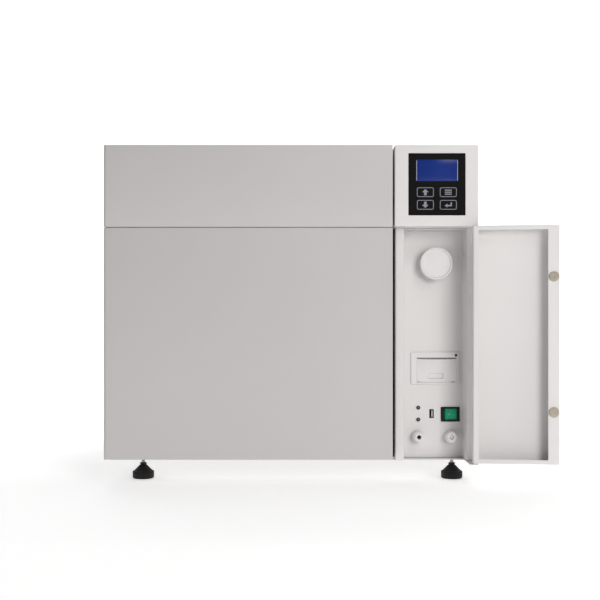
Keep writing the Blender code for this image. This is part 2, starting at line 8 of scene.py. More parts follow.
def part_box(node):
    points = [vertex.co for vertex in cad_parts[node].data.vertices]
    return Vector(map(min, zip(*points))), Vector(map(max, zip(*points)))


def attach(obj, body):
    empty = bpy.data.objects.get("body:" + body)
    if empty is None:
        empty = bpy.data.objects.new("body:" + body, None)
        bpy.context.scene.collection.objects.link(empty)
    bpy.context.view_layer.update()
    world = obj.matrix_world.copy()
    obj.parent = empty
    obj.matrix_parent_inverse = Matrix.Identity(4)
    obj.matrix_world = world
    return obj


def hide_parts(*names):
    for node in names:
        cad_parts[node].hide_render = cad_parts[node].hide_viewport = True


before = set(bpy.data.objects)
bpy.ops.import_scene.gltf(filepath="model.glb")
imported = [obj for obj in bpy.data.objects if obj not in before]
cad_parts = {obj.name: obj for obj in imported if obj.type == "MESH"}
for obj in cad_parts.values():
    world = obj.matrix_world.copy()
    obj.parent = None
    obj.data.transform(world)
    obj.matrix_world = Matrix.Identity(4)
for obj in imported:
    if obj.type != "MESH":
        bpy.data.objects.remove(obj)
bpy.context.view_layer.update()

# Places that everything else is worked out from.
DOOR_LOW, DOOR_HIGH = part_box("main_door_cover")
LEFT, FRONT = DOOR_LOW.x, DOOR_LOW.y
SAME = 1e-6            # places closer than this are the same place
SHEET = 0.0015         # sheet steel of the casing
ROUND_TURN = 2 * math.pi


# ---- Shader kit -------------------------------------------------------------------------------

class Wire:
    """A socket's value. Sums and products of wires and numbers become Math nodes."""

    def __init__(self, finish, socket):
        self.finish, self.socket = finish, socket

    def _math(self, operation, first, second=0.0):
        node = self.finish.node("ShaderNodeMath", {"operation": operation}, {0: first, 1: second})
        return self.finish.wire(node)

    def __add__(self, other):
        return self._math("ADD", self, other)

    def __sub__(self, other):
        return self._math("SUBTRACT", self, other)

    def __mul__(self, other):
        return self._math("MULTIPLY", self, other)

    def __rsub__(self, other):
        return self._math("SUBTRACT", other, self)

    def below(self, limit):
        return self._math("LESS_THAN", self, limit)

    def above(self, limit):
        return self._math("GREATER_THAN", self, limit)

    __radd__ = __add__
    __rmul__ = __mul__


class Finish:
    """A material and the nodes that make it up."""

    def __init__(self, name, **constants):
        self.material = bpy.data.materials.new(name)
        self.material.use_nodes = True
        self.tree = self.material.node_tree
        self.shader = self.tree.nodes["Principled BSDF"]
        for label, value in constants.items():
            self.shader.inputs[label.replace("_", " ")].default_value = value
        self.place = self.wire(self.node("ShaderNodeTexCoord"), "Object")

    def node(self, kind, settings=None, sockets=None):
        made = self.tree.nodes.new(kind)
        for label, value in (settings or {}).items():
            setattr(made, label, value)
        for label, value in (sockets or {}).items():
            self.feed(made.inputs[label], value)
        return made

    def feed(self, target, value):
        if isinstance(value, Wire):
            self.tree.links.new(value.socket, target)
        else:
            target.default_value = value

    def wire(self, node, output=0):
        return Wire(self, node.outputs[output])

    def stretched(self, scale, offset=(0, 0, 0), turn=(0, 0, 0)):
        node = self.node("ShaderNodeMapping", None, {"Vector": self.place, "Scale": scale, "Location": offset,
                                                     "Rotation": turn})
        return self.wire(node)

    def noise(self, scale, detail=2.0, roughness=0.5, vector=None):
        node = self.node("ShaderNodeTexNoise", None, {"Vector": vector or self.place, "Scale": scale,
                                                      "Detail": detail, "Roughness": roughness})
        return self.wire(node, "Fac")

    def grains(self, scale, feature="F1"):
        node = self.node("ShaderNodeTexVoronoi", {"feature": feature}, {"Vector": self.place, "Scale": scale})
        return self.wire(node, "Distance")

    def blend(self, amount, first, second):
        node = self.node("ShaderNodeMix", {"data_type": "RGBA"}, {0: amount, 6: first, 7: second})
        return self.wire(node, 2)

    def ramp(self, value, stops):
        node = self.tree.nodes.new("ShaderNodeValToRGB")
        line = node.color_ramp.elements
        while len(line) < len(stops):
            line.new(0.5)
        for stop, (position, level) in zip(line, stops):
            stop.position = position
            stop.color = (level, level, level, 1)
        self.feed(node.inputs[0], value)
        return self.wire(node)

    def distance_from(self, centre, keep=(1, 1, 1)):
        """Distance from a point, counting only the axes that keep holds."""
        shifted = self.node("ShaderNodeVectorMath", {"operation": "SUBTRACT"}, {0: self.place, 1: centre})
        flat = self.node("ShaderNodeVectorMath", {"operation": "MULTIPLY"}, {0: self.wire(shifted), 1: keep})
        length = self.node("ShaderNodeVectorMath", {"operation": "LENGTH"}, {0: self.wire(flat)})
        return self.wire(length, "Value")

    def axis(self, index):
        return self.wire(self.node("ShaderNodeSeparateXYZ", None, {0: self.place}), index)

    def colour(self, value):
        self.feed(self.shader.inputs["Base Color"], value)

    def roughness(self, value):
        self.feed(self.shader.inputs["Roughness"], value)

    def relief(self, height, depth, strength=1.0):
        bump = self.node("ShaderNodeBump", None, {"Height": height, "Distance": depth, "Strength": strength})
        self.feed(self.shader.inputs["Normal"], self.wire(bump))


def tone(colour, factor):
    return (*[min(1.0, part * factor) for part in colour], 1.0)


def powder_coat(name, colour, roughness=0.42, peel=0.00006):
    """Powder coat: fine orange peel, faint clouding and a few matt wiped patches."""
    paint = Finish(name, Coat_Weight=0.15, Coat_Roughness=0.3)
    cloud = paint.noise(4.5, 4.0, 0.6)
    skin = paint.noise(750.0, 3.0, 0.55)
    wiped = paint.ramp(paint.noise(11.0, 5.0, 0.65), [(0.42, 0.0), (0.68, 1.0)])
    shade = paint.blend(cloud, tone(colour, 0.965), tone(colour, 1.03))
    speck = paint.ramp(paint.grains(420.0), [(0.0, 1.0), (0.09, 0.0)])
    paint.colour(paint.blend(speck * 0.05, shade, tone(colour, 0.75)))
    paint.roughness(roughness + wiped * 0.07 + (skin - 0.5) * 0.05)
    paint.relief(skin, peel)
    return paint.material


def moulded(name, colour, roughness=0.45, grain=900.0, depth=0.00004, cloudiness=0.04, gloss=0.5):
    """Injection-moulded plastic with a fine spark-eroded grain and faint flow marks."""
    plastic = Finish(name, Specular_IOR_Level=gloss)
    texture = plastic.grains(grain)
    flow = plastic.noise(38.0, 4.0, 0.6)
    plastic.colour(plastic.blend(flow, tone(colour, 1 - cloudiness), tone(colour, 1 + cloudiness)))
    plastic.roughness(roughness + (flow - 0.5) * 0.12 + texture * 0.08)
    plastic.relief(texture, depth)
    return plastic.material


def brushed(name, colour, stretch, roughness=0.28, metallic=1.0):
    """Sheet steel brushed along one axis: long fine scratches and a few faint stains."""
    steel = Finish(name, Metallic=metallic)
    lines = steel.noise(1.0, 5.0, 0.7, steel.stretched(stretch))
    stain = steel.noise(16.0, 4.0, 0.6)
    steel.colour(steel.blend(lines, tone(colour, 0.86), tone(colour, 1.1)))
    steel.roughness(roughness + (lines - 0.5) * 0.16 + (stain - 0.5) * 0.14)
    steel.relief(lines, 0.00003)
    return steel.material


def turned_steel(name, colour, centre, keep, roughness=0.25):
    """Steel faced on a lathe: fine rings about its centre."""
    steel = Finish(name, Metallic=1.0)
    radius = steel.distance_from(centre, keep)
    rings = steel.wire(steel.node("ShaderNodeTexNoise", {"noise_dimensions": "1D"},
                                  {"W": radius, "Scale": 900.0, "Detail": 4.0}), "Fac")
    stain = steel.noise(14.0, 4.0, 0.6)
    steel.colour(steel.blend(rings, tone(colour, 0.88), tone(colour, 1.1)))
    steel.roughness(roughness + (rings - 0.5) * 0.14 + (stain - 0.5) * 0.16)
    steel.relief(rings, 0.00004)
    return steel.material


# ---- Mesh kit -----------------------------------------------------------------------------------

def block(low, high, rounding=0.0, segments=3, edges=None):
    """A block between two corners. Its edges are rounded: all of them, or those that edges() picks."""
    low, high = Vector(low), Vector(high)
    shape = bmesh.new()
    matrix = Matrix.Translation((low + high) / 2) @ Matrix.Diagonal((*(high - low), 1))
    bmesh.ops.create_cube(shape, size=1.0, matrix=matrix)
    if rounding:
        chosen = [edge for edge in shape.edges if edges is None or edges(edge)]
        soften(shape, chosen, rounding, segments)
    return shape


def soften(shape, edges, width, segments=3):
    bmesh.ops.bevel(shape, geom=edges, offset=width, offset_type='OFFSET', segments=segments, profile=0.5,
                    affect='EDGES', clamp_overlap=True, material=-1)


def middle_of(node):
    """The middle of a CAD node in the front view."""
    low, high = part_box(node)
    return (low.x + high.x) / 2, (low.z + high.z) / 2


def is_along_y(edge):
    first, second = (vert.co for vert in edge.verts)
    return abs(first.x - second.x) < SAME and abs(first.z - second.z) < SAME


def is_upright(edge):
    first, second = (vert.co for vert in edge.verts)
    return abs(first.x - second.x) < SAME and abs(first.y - second.y) < SAME


def centred(x, z, width, height, front, back):
    """Two corners of a block about a point of the front view, between two depths."""
    return (x - width / 2, front, z - height / 2), (x + width / 2, back, z + height / 2)


def lathe(points, centre, axis='Y', steps=96, ring=False):
    """A turned shape. Points are (radius, place along the axis); centre gives the other two axes."""
    shape = bmesh.new()
    across, along = centre
    spots = {'X': lambda r, h: (h, across, along + r), 'Y': lambda r, h: (across + r, h, along),
             'Z': lambda r, h: (across + r, along, h)}[axis]
    middle = {'X': (0, across, along), 'Y': (across, 0, along), 'Z': (across, along, 0)}[axis]
    direction = {'X': (1, 0, 0), 'Y': (0, 1, 0), 'Z': (0, 0, 1)}[axis]
    line = [shape.verts.new(spots(r, h)) for r, h in points]
    pairs = list(zip(line, line[1:])) + ([(line[-1], line[0])] if ring else [])
    edges = [shape.edges.new(pair) for pair in pairs]
    bmesh.ops.spin(shape, geom=line + edges, cent=middle, axis=direction, angle=ROUND_TURN, steps=steps,
                   use_merge=True, use_duplicate=False)
    bmesh.ops.remove_doubles(shape, verts=shape.verts, dist=SAME)
    bmesh.ops.recalc_face_normals(shape, faces=shape.faces)
    return shape


def arc(centre, across, along, end=91, step=15):
    """Points of a quarter turn, for an outline: out by across, and along by along."""
    return [(centre[0] + across * math.sin(math.radians(angle)), centre[1] + along * math.cos(math.radians(angle)))
            for angle in range(0, end, step)]


def rod(radius, start, end, centre, axis='Y', steps=32):
    """A plain cylinder between two places along an axis."""
    return lathe([(0, start), (radius, start), (radius, end), (0, end)], centre, axis, steps)


def pulled_strip(points, step):
    """An open sheet: a line of points pulled by a step."""
    shape = bmesh.new()
    line = [shape.verts.new(point) for point in points]
    edges = [shape.edges.new(pair) for pair in zip(line, line[1:])]
    move_new(shape, bmesh.ops.extrude_edge_only(shape, edges=edges), step)
    return shape


def prism(points, step):
    """A closed body: a flat figure pulled by a step."""
    shape = bmesh.new()
    face = shape.faces.new([shape.verts.new(point) for point in points])
    move_new(shape, bmesh.ops.extrude_face_region(shape, geom=[face]), step)
    bmesh.ops.recalc_face_normals(shape, faces=shape.faces)
    return shape


def move_new(shape, extruded, step):
    moved = [part for part in extruded["geom"] if isinstance(part, bmesh.types.BMVert)]
    bmesh.ops.translate(shape, verts=moved, vec=step)


def set_down(shape, angle, place):
    """Turn a shape about the depth axis where it was made, then carry it to its place."""
    bmesh.ops.rotate(shape, verts=shape.verts, cent=(0, 0, 0), matrix=Matrix.Rotation(angle, 3, 'Y'))
    bmesh.ops.translate(shape, verts=shape.verts, vec=place)
    return shape


def eased(points, radius, turns=4):
    """The same outline with each inner corner rounded by a short arc."""
    out = [Vector(points[0])]
    for before, corner, after in zip(points, points[1:], points[2:]):
        corner = Vector(corner)
        back, on = Vector(before) - corner, Vector(after) - corner
        reach = min(radius, back.length * 0.45, on.length * 0.45)
        start, end = corner + back.normalized() * reach, corner + on.normalized() * reach
        for step in range(turns + 1):
            t = step / turns
            out.append(start.lerp(corner, t).lerp(corner.lerp(end, t), t))
    out.append(Vector(points[-1]))
    return [tuple(point) for point in out]


def merge(*shapes):
    """Several shapes in one mesh, each still its own closed body."""
    whole = bmesh.new()
    for shape in shapes:
        held = bpy.data.meshes.new("held")
        shape.to_mesh(held)
        shape.free()
        whole.from_mesh(held)
        bpy.data.meshes.remove(held)
    return whole


def shape_object(name, shape):
    mesh = bpy.data.meshes.new(name)
    shape.to_mesh(mesh)
    shape.free()
    made = bpy.data.objects.new(name, mesh)
    bpy.context.scene.collection.objects.link(made)
    return made


def carve(shape, *tools):
    """Cut closed shapes out of a closed shape."""
    body = shape_object("body", shape)
    knives = [shape_object(f"knife_{number}", tool) for number, tool in enumerate(tools)]
    for knife in knives:
        step = body.modifiers.new(knife.name, 'BOOLEAN')
        step.object = knife
    bpy.context.view_layer.update()
    result = bmesh.new()
    result.from_object(body, bpy.context.evaluated_depsgraph_get())
    for used in [body, *knives]:
        mesh = used.data
        bpy.data.objects.remove(used)
        bpy.data.meshes.remove(mesh)
    return result


def finish_piece(name, shape, finish, body, replaces=(), angle=32):
    """Turn a finished shape into a piece that rides on a body."""
    piece = shape_object(name, shape)
    piece.data.materials.append(finish)
    piece.data.shade_smooth()
    piece.data.set_sharp_from_angle(angle=math.radians(angle))
    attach(piece, body)
    if replaces:
        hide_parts(*replaces)
    return piece


def repaint(node_name, finish):
    """Give a CAD node that shows as it is a finish of its own."""
    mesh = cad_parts[node_name].data
    mesh.materials.clear()
    mesh.materials.append(finish)


def thicken(piece, thickness, offset=-1.0):
    wall = piece.modifiers.new("wall", 'SOLIDIFY')
    wall.thickness = thickness
    wall.offset = offset
    wall.use_even_offset = True
    return piece


def round_edges(piece, width, segments=2):
    soft = piece.modifiers.new("edges", 'BEVEL')
    soft.width = width
    soft.segments = segments
    soft.limit_method = 'ANGLE'
    soft.angle_limit = math.radians(40)
    soft.harden_normals = False
    return piece


def pan_screw(x, z, front, radius=0.0032, facing=-1):
    """A pan-head screw seen from in front (facing -1) or behind (facing 1), with a cross recess."""
    head = lathe([(0, front + facing * 0.0018), (radius * 0.55, front + facing * 0.0016),
                  (radius, front + facing * 0.0004), (radius, front - facing * 0.0006),
                  (0, front - facing * 0.0006)], (x, z), 'Y', 24)
    slot_low, slot_high = sorted((front + facing * 0.0008, front + facing * 0.003))
    bars = [block(*centred(x, z, *size, slot_low, slot_high)) for size in
            ((radius * 1.1, radius * 0.26), (radius * 0.26, radius * 1.1))]
    return carve(head, *bars)


def pan_screws(spots, front, radius=0.0032, facing=-1):
    return merge(*[pan_screw(x, z, front, radius, facing) for x, z in spots])


# ---- Finishes -----------------------------------------------------------------------------------

door_paint = powder_coat("door_powder_coat", (0.555, 0.535, 0.53))
body_paint = powder_coat("body_powder_coat", (0.735, 0.72, 0.71))
side_paint = powder_coat("cabinet_powder_coat", (0.63, 0.62, 0.61), 0.46, 0.00009)
white_plastic = moulded("white_moulding", (0.74, 0.73, 0.72), 0.38, 1500.0, 0.00002, 0.02)
liner_plastic = moulded("liner_moulding", (0.6, 0.6, 0.59), 0.5, 600.0, 0.00008, 0.03)
black_plastic = moulded("black_moulding", (0.008, 0.008, 0.0085), 0.42, 800.0, 0.00005, 0.25, 0.3)
foot_rubber = moulded("foot_rubber", (0.006, 0.006, 0.0065), 0.5, 500.0, 0.00008, 0.3, 0.3)
grey_plastic = moulded("grey_moulding", (0.22, 0.225, 0.23), 0.45, 900.0, 0.00004, 0.08)
# Near-black moulding put where there is only shade: painted shade behind the side louvres, at the back of the USB
# socket and deep in the fill coupler's bore.
shade_void = moulded("painted_shade_moulding", (0.004, 0.004, 0.004), 0.7, 700.0, 0.00003, 0.2, 0.2)
upright_steel = brushed("steel_brushed_upright", (0.6, 0.6, 0.61), (900, 900, 14))
level_steel = brushed("steel_brushed_level", (0.58, 0.58, 0.59), (14, 900, 900))
long_steel = brushed("steel_drawn_lengthways", (0.57, 0.57, 0.58), (900, 14, 900), 0.32)
machined_brass = brushed("machined_brass", (0.62, 0.46, 0.2), (700, 700, 700), 0.25)
# Bright steel socket shell coloured near black: painted dark reflection.
reflection_dark_shell_steel = brushed("socket_shell_painted_dark_reflection", (0.05, 0.05, 0.052), (900, 14, 900), 0.4, 0.6)


def keypad_film():
    """Black printed polyester: satin, faint orange peel and thin dust."""
    film = Finish("keypad_film", Specular_IOR_Level=0.22)
    skin = film.noise(420.0, 2.0)
    dust = film.ramp(film.noise(60.0, 6.0, 0.7), [(0.5, 0.0), (0.8, 1.0)])
    film.colour(film.blend(dust * 0.25, (0.004, 0.0036, 0.0038, 1), (0.01, 0.0095, 0.01, 1)))
    film.roughness(0.34 + skin * 0.08)
    film.relief(skin, 0.00002)
    return film.material


def display_glass(low, high):
    """Backlit blue display: dark dot grid, brighter towards the middle where the lamp is."""
    glass = Finish("display_glass", Specular_IOR_Level=0.25, Emission_Strength=0.45)
    centre = (low + high) / 2
    glow = glass.distance_from(tuple(centre), (1, 0, 1.6))
    spread = glass.ramp(glow, [(0.0, 1.0), (0.042, 0.55)])
    grid_x = glass.wire(glass.node("ShaderNodeMath", {"operation": "PINGPONG"},
                                   {0: glass.axis("X"), 1: (high.x - low.x) / 256}))
    grid_z = glass.wire(glass.node("ShaderNodeMath", {"operation": "PINGPONG"},
                                   {0: glass.axis("Z"), 1: (high.z - low.z) / 128}))
    lines = grid_x.below(0.00003) + grid_z.below(0.00003)
    blue = glass.blend(spread, (0.005, 0.012, 0.08, 1), (0.009, 0.024, 0.15, 1))
    lit = glass.blend(lines * 0.25, blue, (0.003, 0.008, 0.05, 1))
    glass.colour(lit)
    glass.feed(glass.shader.inputs["Emission Color"], lit)
    glass.roughness(0.16 + glass.noise(30.0, 4.0) * 0.1)
    glass.relief(glass.noise(300.0, 2.0), 0.000008)
    return glass.material


def lit_green(centre):
    """Green rocker lens with its lamp behind: brighter in the middle, with a faintly clouded bumpy face."""
    lens = Finish("green_lens", Specular_IOR_Level=0.4, Emission_Strength=0.25)
    glow = lens.ramp(lens.distance_from(tuple(centre), (1, 0, 1)), [(0.0, 1.0), (0.014, 0.25)])
    cloud = lens.noise(160.0, 3.0)
    body = lens.blend(glow * 0.7 + cloud * 0.2, (0.002, 0.13, 0.055, 1), (0.006, 0.32, 0.15, 1))
    lens.colour(body)
    lens.feed(lens.shader.inputs["Emission Color"], body)
    lens.roughness(0.22 + cloud * 0.1)
    lens.relief(cloud, 0.00002)
    return lens.material


def silicone():
    rubber = Finish("silicone_gasket", Sheen_Weight=0.1)
    bloom = rubber.noise(70.0, 5.0, 0.65)
    rubber.colour(rubber.blend(bloom, (0.36, 0.085, 0.05, 1), (0.46, 0.13, 0.085, 1)))
    rubber.roughness(0.6 + bloom * 0.15)
    rubber.relief(rubber.noise(600.0, 3.0), 0.00005)
    return rubber.material


def nickel_plate():
    plate = Finish("magnet_plating", Metallic=0.55)
    dull = plate.noise(240.0, 5.0, 0.7)
    plate.colour(plate.blend(dull, (0.62, 0.56, 0.47, 1), (0.44, 0.39, 0.31, 1)))
    plate.roughness(0.38 + dull * 0.2)
    plate.relief(dull, 0.00003)
    return plate.material


def circuit_board():
    board = Finish("green_circuit_board", Coat_Weight=0.3)
    tracks = board.grains(180.0, "F1").above(0.42)
    board.colour(board.blend(tracks * 0.6, (0.012, 0.1, 0.035, 1), (0.03, 0.2, 0.08, 1)))
    board.roughness(0.35 + tracks * 0.15)
    board.relief(tracks, 0.00004)
    return board.material


def soft_lagging():
    wool = Finish("glass_cloth_lagging", Sheen_Weight=0.2)
    weave = wool.noise(1.0, 2.0, 0.5, wool.stretched((500, 120, 500)))
    wool.colour(wool.blend(weave, (0.3, 0.3, 0.31, 1), (0.52, 0.52, 0.54, 1)))
    wool.roughness(0.75 + weave * 0.15)
    wool.relief(weave, 0.0003)
    return wool.material


def thermal_paper():
    paper = Finish("thermal_paper")
    fibre = paper.noise(700.0, 4.0, 0.6)
    paper.colour(paper.blend(fibre, (0.74, 0.74, 0.72, 1), (0.84, 0.84, 0.82, 1)))
    paper.roughness(0.65 + fibre * 0.1)
    paper.relief(fibre, 0.00003)
    return paper.material


def printed_ink(name, colour):
    ink = Finish(name)
    wear = ink.noise(900.0, 4.0, 0.7)
    ink.colour(ink.blend(wear * 0.5, tone(colour, 1.05), tone(colour, 0.8)))
    ink.roughness(0.4 + wear * 0.15)
    return ink.material


key_film = keypad_film()
gasket_rubber = silicone()
magnet_plating = nickel_plate()
board_green = circuit_board()
lagging_cloth = soft_lagging()
paper_white = thermal_paper()
grey_ink = printed_ink("key_outline_ink", (0.26, 0.27, 0.3))
mark_ink = printed_ink("switch_mark_ink", (0.4, 0.55, 0.48))
frame_glint = brushed("display_frame_steel", (0.55, 0.56, 0.6), (900, 900, 14), 0.35, 0.4)


# ---- Main door ----------------------------------------------------------------------------------

BODY = "cabinet"
BRACKET_Z = [middle_of(f"hinge_bracket_{end}")[1] for end in ("lower", "upper")]
LID_LOW, LID_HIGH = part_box("pressure_lid")
CHAMBER_X, CHAMBER_Z = middle_of("pressure_lid")
GROOVE_Z = DOOR_LOW.z + 0.3825


def door_skin(low, high):
    """One painted panel of the door, its front edges softly rounded and its outer side well rounded."""
    panel = block(low, high)

    def on_front(edge):
        return all(abs(vert.co.y - low.y) < 1e-6 for vert in edge.verts)

    left = [edge for edge in panel.edges if is_upright(edge) and on_front(edge)
            and edge.verts[0].co.x < low.x + 1e-5]
    soften(panel, left, 0.0052, 6)
    rims = [edge for edge in panel.edges if all(vert.co.y < low.y + 1e-6 for vert in edge.verts)
            and not (is_upright(edge) and edge.verts[0].co.x < low.x + 0.01)
            and len(edge.link_faces) == 2 and edge.calc_face_angle(0) > 0.5]
    soften(panel, rims, 0.0011, 3)
    return panel


def make_main_door():
    gap = 0.0008
    low, high = DOOR_LOW.copy(), DOOR_HIGH.copy()
    inner = block((low.x + 0.0015, low.y + 0.004, low.z + 0.0015), (high.x - 0.0015, high.y + 0.02, high.z - 0.0015))
    notches = [block((low.x - 0.01, low.y + 0.019, z - 0.007), (low.x + 0.0025, high.y + 0.01, z + 0.007))
               for z in BRACKET_Z]
    upper = door_skin(Vector((low.x, low.y, GROOVE_Z + gap)), high)
    lower = door_skin(low, Vector((high.x, high.y, GROOVE_Z - gap)))
    parts = [carve(panel, inner.copy(), *[notch.copy() for notch in notches]) for panel in (upper, lower)]
    inner.free()
    for notch in notches:
        notch.free()
    for name, shape, replaced in (("door_upper_panel", parts[0], ()),
                                  ("door_lower_panel", parts[1], ("main_door_cover",))):
        finish_piece(name, shape, door_paint, "main_door", replaced)
    backing = block((low.x + 0.0019, low.y + 0.003, GROOVE_Z - 0.012),
                    (high.x - 0.0019, low.y + 0.012, GROOVE_Z + 0.012), 0.0006, 1)
    finish_piece("door_joint_strip", backing, groove_dark, "main_door")


def make_liner():
    low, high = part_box("main_door_liner")
    repaint("main_door_liner", liner_plastic)
    rear = high.y
    border = 0.016
    rim = block((low.x + 0.004, rear - 0.001, low.z + 0.004), (high.x - 0.004, rear + 0.0016, high.z - 0.004),
                0.0012, 3)
    middle = block((low.x + 0.004 + border, rear - 0.01, low.z + 0.004 + border),
                   (high.x - 0.004 - border, rear + 0.01, high.z - 0.004 - border), 0.01, 4, is_along_y)
    gaps = [block((low.x - 0.01, rear - 0.02, z - 0.009), (low.x + 0.03, rear + 0.02, z + 0.027))
            for z in BRACKET_Z]
    bolt_low, bolt_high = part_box("door_lock_bolt")
    gaps.append(block((bolt_low.x - 0.002, rear - 0.02, bolt_low.z - 0.002),
                      (bolt_high.x + 0.002, rear + 0.02, bolt_high.z + 0.002), 0.0012, 3, is_along_y))
    finish_piece("door_liner_border", carve(rim, middle, *gaps), liner_plastic, "main_door")
    spots = [(x, z) for x in (low.x + 0.03, high.x - 0.014) for z in
             (low.z + 0.06, (low.z + high.z) / 2 + 0.06, high.z - 0.014)]
    finish_piece("door_liner_screws", pan_screws(spots, rear + 0.0014, 0.003, 1), level_steel, "main_door")


def make_lid():
    """The pressed steel lid: a flat flange, a step and a shallow dish, with its gasket in a groove."""
    front, back = LID_LOW.y, LID_HIGH.y
    radius = (LID_HIGH.x - LID_LOW.x) / 2
    outline = [(0, front), (radius - 0.002, front), (radius, front + 0.002), (radius, back - 0.003),
               (radius - 0.003, back), (0.128, back), (0.118, back - 0.0015), (0.108, back - 0.0055)]
    dish = [(0.1 * math.cos(math.radians(angle)), back - 0.0058 + 0.0022 * math.sin(math.radians(angle)))
            for angle in range(0, 91, 10)]
    finish_piece("pressure_lid_dished", lathe(outline + dish, (CHAMBER_X, CHAMBER_Z), 'Y', 160), lid_steel,
                 "main_door", ("pressure_lid",))
    low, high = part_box("lid_gasket")
    outer = (high.x - low.x) / 2
    inner = outer - 0.008
    ring = [(inner, low.y), (outer, low.y), (outer, high.y - 0.002), (outer - 0.0015, high.y - 0.0005),
            ((outer + inner) / 2 + 0.001, high.y - 0.0016), ((outer + inner) / 2 - 0.001, high.y - 0.0016),
            (inner + 0.0015, high.y - 0.0005), (inner, high.y - 0.002)]
    finish_piece("lid_seal", lathe(ring, (CHAMBER_X, CHAMBER_Z), 'Y', 160, ring=True), gasket_rubber,
                 "main_door", ("lid_gasket",))


groove_dark = moulded("joint_shadow", (0.36, 0.35, 0.345), 0.7, 500.0, 0.00004, 0.2)
lid_steel = turned_steel("lid_steel", (0.62, 0.62, 0.63), (CHAMBER_X, 0, CHAMBER_Z), (1, 0, 1))
make_main_door()
make_liner()
make_lid()


# ---- Cabinet ------------------------------------------------------------------------------------

def cover_section(low, high, wall, bend):
    """Half-way points of the cover's sheet across its width: up one side, over and down the other."""
    x0, x1, top = low.x + wall / 2, high.x - wall / 2, high.z - wall / 2
    return eased([(x0, low.z), (x0, top), (x1, top), (x1, low.z)], bend, 6)


def sheet_along(section, start, end, along='Y'):
    """An open sheet: a line of points pulled from one depth (or height) to another."""
    if along == 'Y':
        shape = pulled_strip([(a, start, b) for a, b in section], (0, end - start, 0))
    else:
        shape = pulled_strip([(a, b, start) for a, b in section], (0, 0, end - start))
    bmesh.ops.recalc_face_normals(shape, faces=shape.faces)
    return shape


def facing(shape, direction):
    """Turn an open sheet so that most of it faces a direction."""
    shape.normal_update()
    direction = Vector(direction)
    if sum(face.calc_area() * face.normal.dot(direction) for face in shape.faces) < 0:
        bmesh.ops.reverse_faces(shape, faces=shape.faces)
    return shape


def louvre_bars(sides, top, reach, heights, half, inward, rounding, segments):
    """A column of nine bars on both sides of the cabinet, between two depths, moved in from the side."""
    bars = []
    for side in sides:
        sign = -1 if side < 0 else 1
        for row in range(9):
            z = top - row * 0.013
            bar = block((side - half, reach[0], z + heights[0]), (side + half, reach[1], z + heights[1]),
                        rounding, segments)
            bmesh.ops.translate(bar, verts=bar.verts, vec=(sign * -inward, 0, 0))
            bars.append(bar)
    return merge(*bars)


def make_cabinet():
    low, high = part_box("cabinet_cover")
    shell = facing(sheet_along(cover_section(low, high, SHEET, 0.004), low.y, high.y), (0, 0, 1))
    cover = finish_piece("cabinet_wrap", shell, side_paint, BODY, ("cabinet_cover",))
    thicken(cover, SHEET, 0.0)
    round_edges(cover, 0.0004, 2)

    top, middle = high.z - 0.085, high.y - 0.145
    shadows = louvre_bars((low.x + 0.0004, high.x - 0.0004), top, (middle - 0.07, middle + 0.07),
                          (-0.0028, 0.0028), 0.0012, 0.0001, 0.001, 2)
    finish_piece("side_louvre_shadows", shadows, shade_void, BODY)
    hoods = louvre_bars((low.x, high.x), top, (middle - 0.071, middle + 0.071), (0.0006, 0.0044), 0.0011,
                        0.0006, 0.0009, 3)
    finish_piece("side_louvre_hoods", hoods, side_paint, BODY)
    screws = []
    for side in (low.x, high.x):
        sign = -1 if side < 0 else 1
        for y in (low.y + 0.045, (low.y + high.y) / 2, high.y - 0.045):
            head = lathe([(0, side + sign * 0.0016), (0.0022, side + sign * 0.0013), (0.004, side + sign * 0.0002),
                          (0.004, side - sign * 0.0005), (0, side - sign * 0.0005)], (y, low.z + 0.022), 'X', 24)
            cross = [block((min(side, side + sign * 0.003), y - a, low.z + 0.022 - b),
                           (max(side + sign * 0.0007, side + sign * 0.003), y + a, low.z + 0.022 + b))
                     for a, b in ((0.0023, 0.0005), (0.0005, 0.0023))]
            for bar in cross:
                for vert in bar.verts:
                    if abs(vert.co.x - side) < 1e-6:
                        vert.co.x = side + sign * 0.0007
            screws.append(carve(head, *cross))
    finish_piece("cover_screws", merge(*screws), long_steel, BODY)


HEAD_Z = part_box("control_head")[0].z


def make_front_frame():
    repaint("front_frame", body_paint)
    low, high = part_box("front_frame")
    seal = [(0.168, high.y - 0.0012), (0.1715, low.y - 0.0018), (0.1725, low.y - 0.0024), (0.1765, low.y - 0.0024),
            (0.178, low.y - 0.0004), (0.178, low.y - 0.0001), (0.1733, low.y - 0.0001), (0.1733, high.y + 0.001),
            (0.169, high.y + 0.001)]
    finish_piece("chamber_opening_trim", lathe(seal, (CHAMBER_X, CHAMBER_Z), 'Y', 128, ring=True), grey_plastic,
                 BODY)
    meeting = HEAD_Z - 0.0004
    # Black strips set in the gap right of the main door: painted shade, so that the gap shows as a dark line.
    gap_shades = [block((LEFT + 0.4772, low.y - 0.008, z0), (LEFT + right, low.y - 0.0003, z1), 0.0008, 3)
             for right, z0, z1 in ((0.4832, low.z + 0.004, meeting), (0.4797, meeting, high.z - 0.008))]
    finish_piece("door_gap_shade_strips", merge(*gap_shades), black_plastic, BODY)
    spots = [(low.x + 0.018, low.z + 0.018), (low.x + 0.018, high.z - 0.014), (LEFT + 0.462, low.z + 0.018),
             (LEFT + 0.462, high.z - 0.014)]
    finish_piece("front_frame_screws", pan_screws(spots, low.y - 0.0002), level_steel, BODY)


make_cabinet()
make_front_frame()


# ---- Control head -------------------------------------------------------------------------------

PIN_HOLE = 0.0025      # radius of the holes that the service door's pins sit in


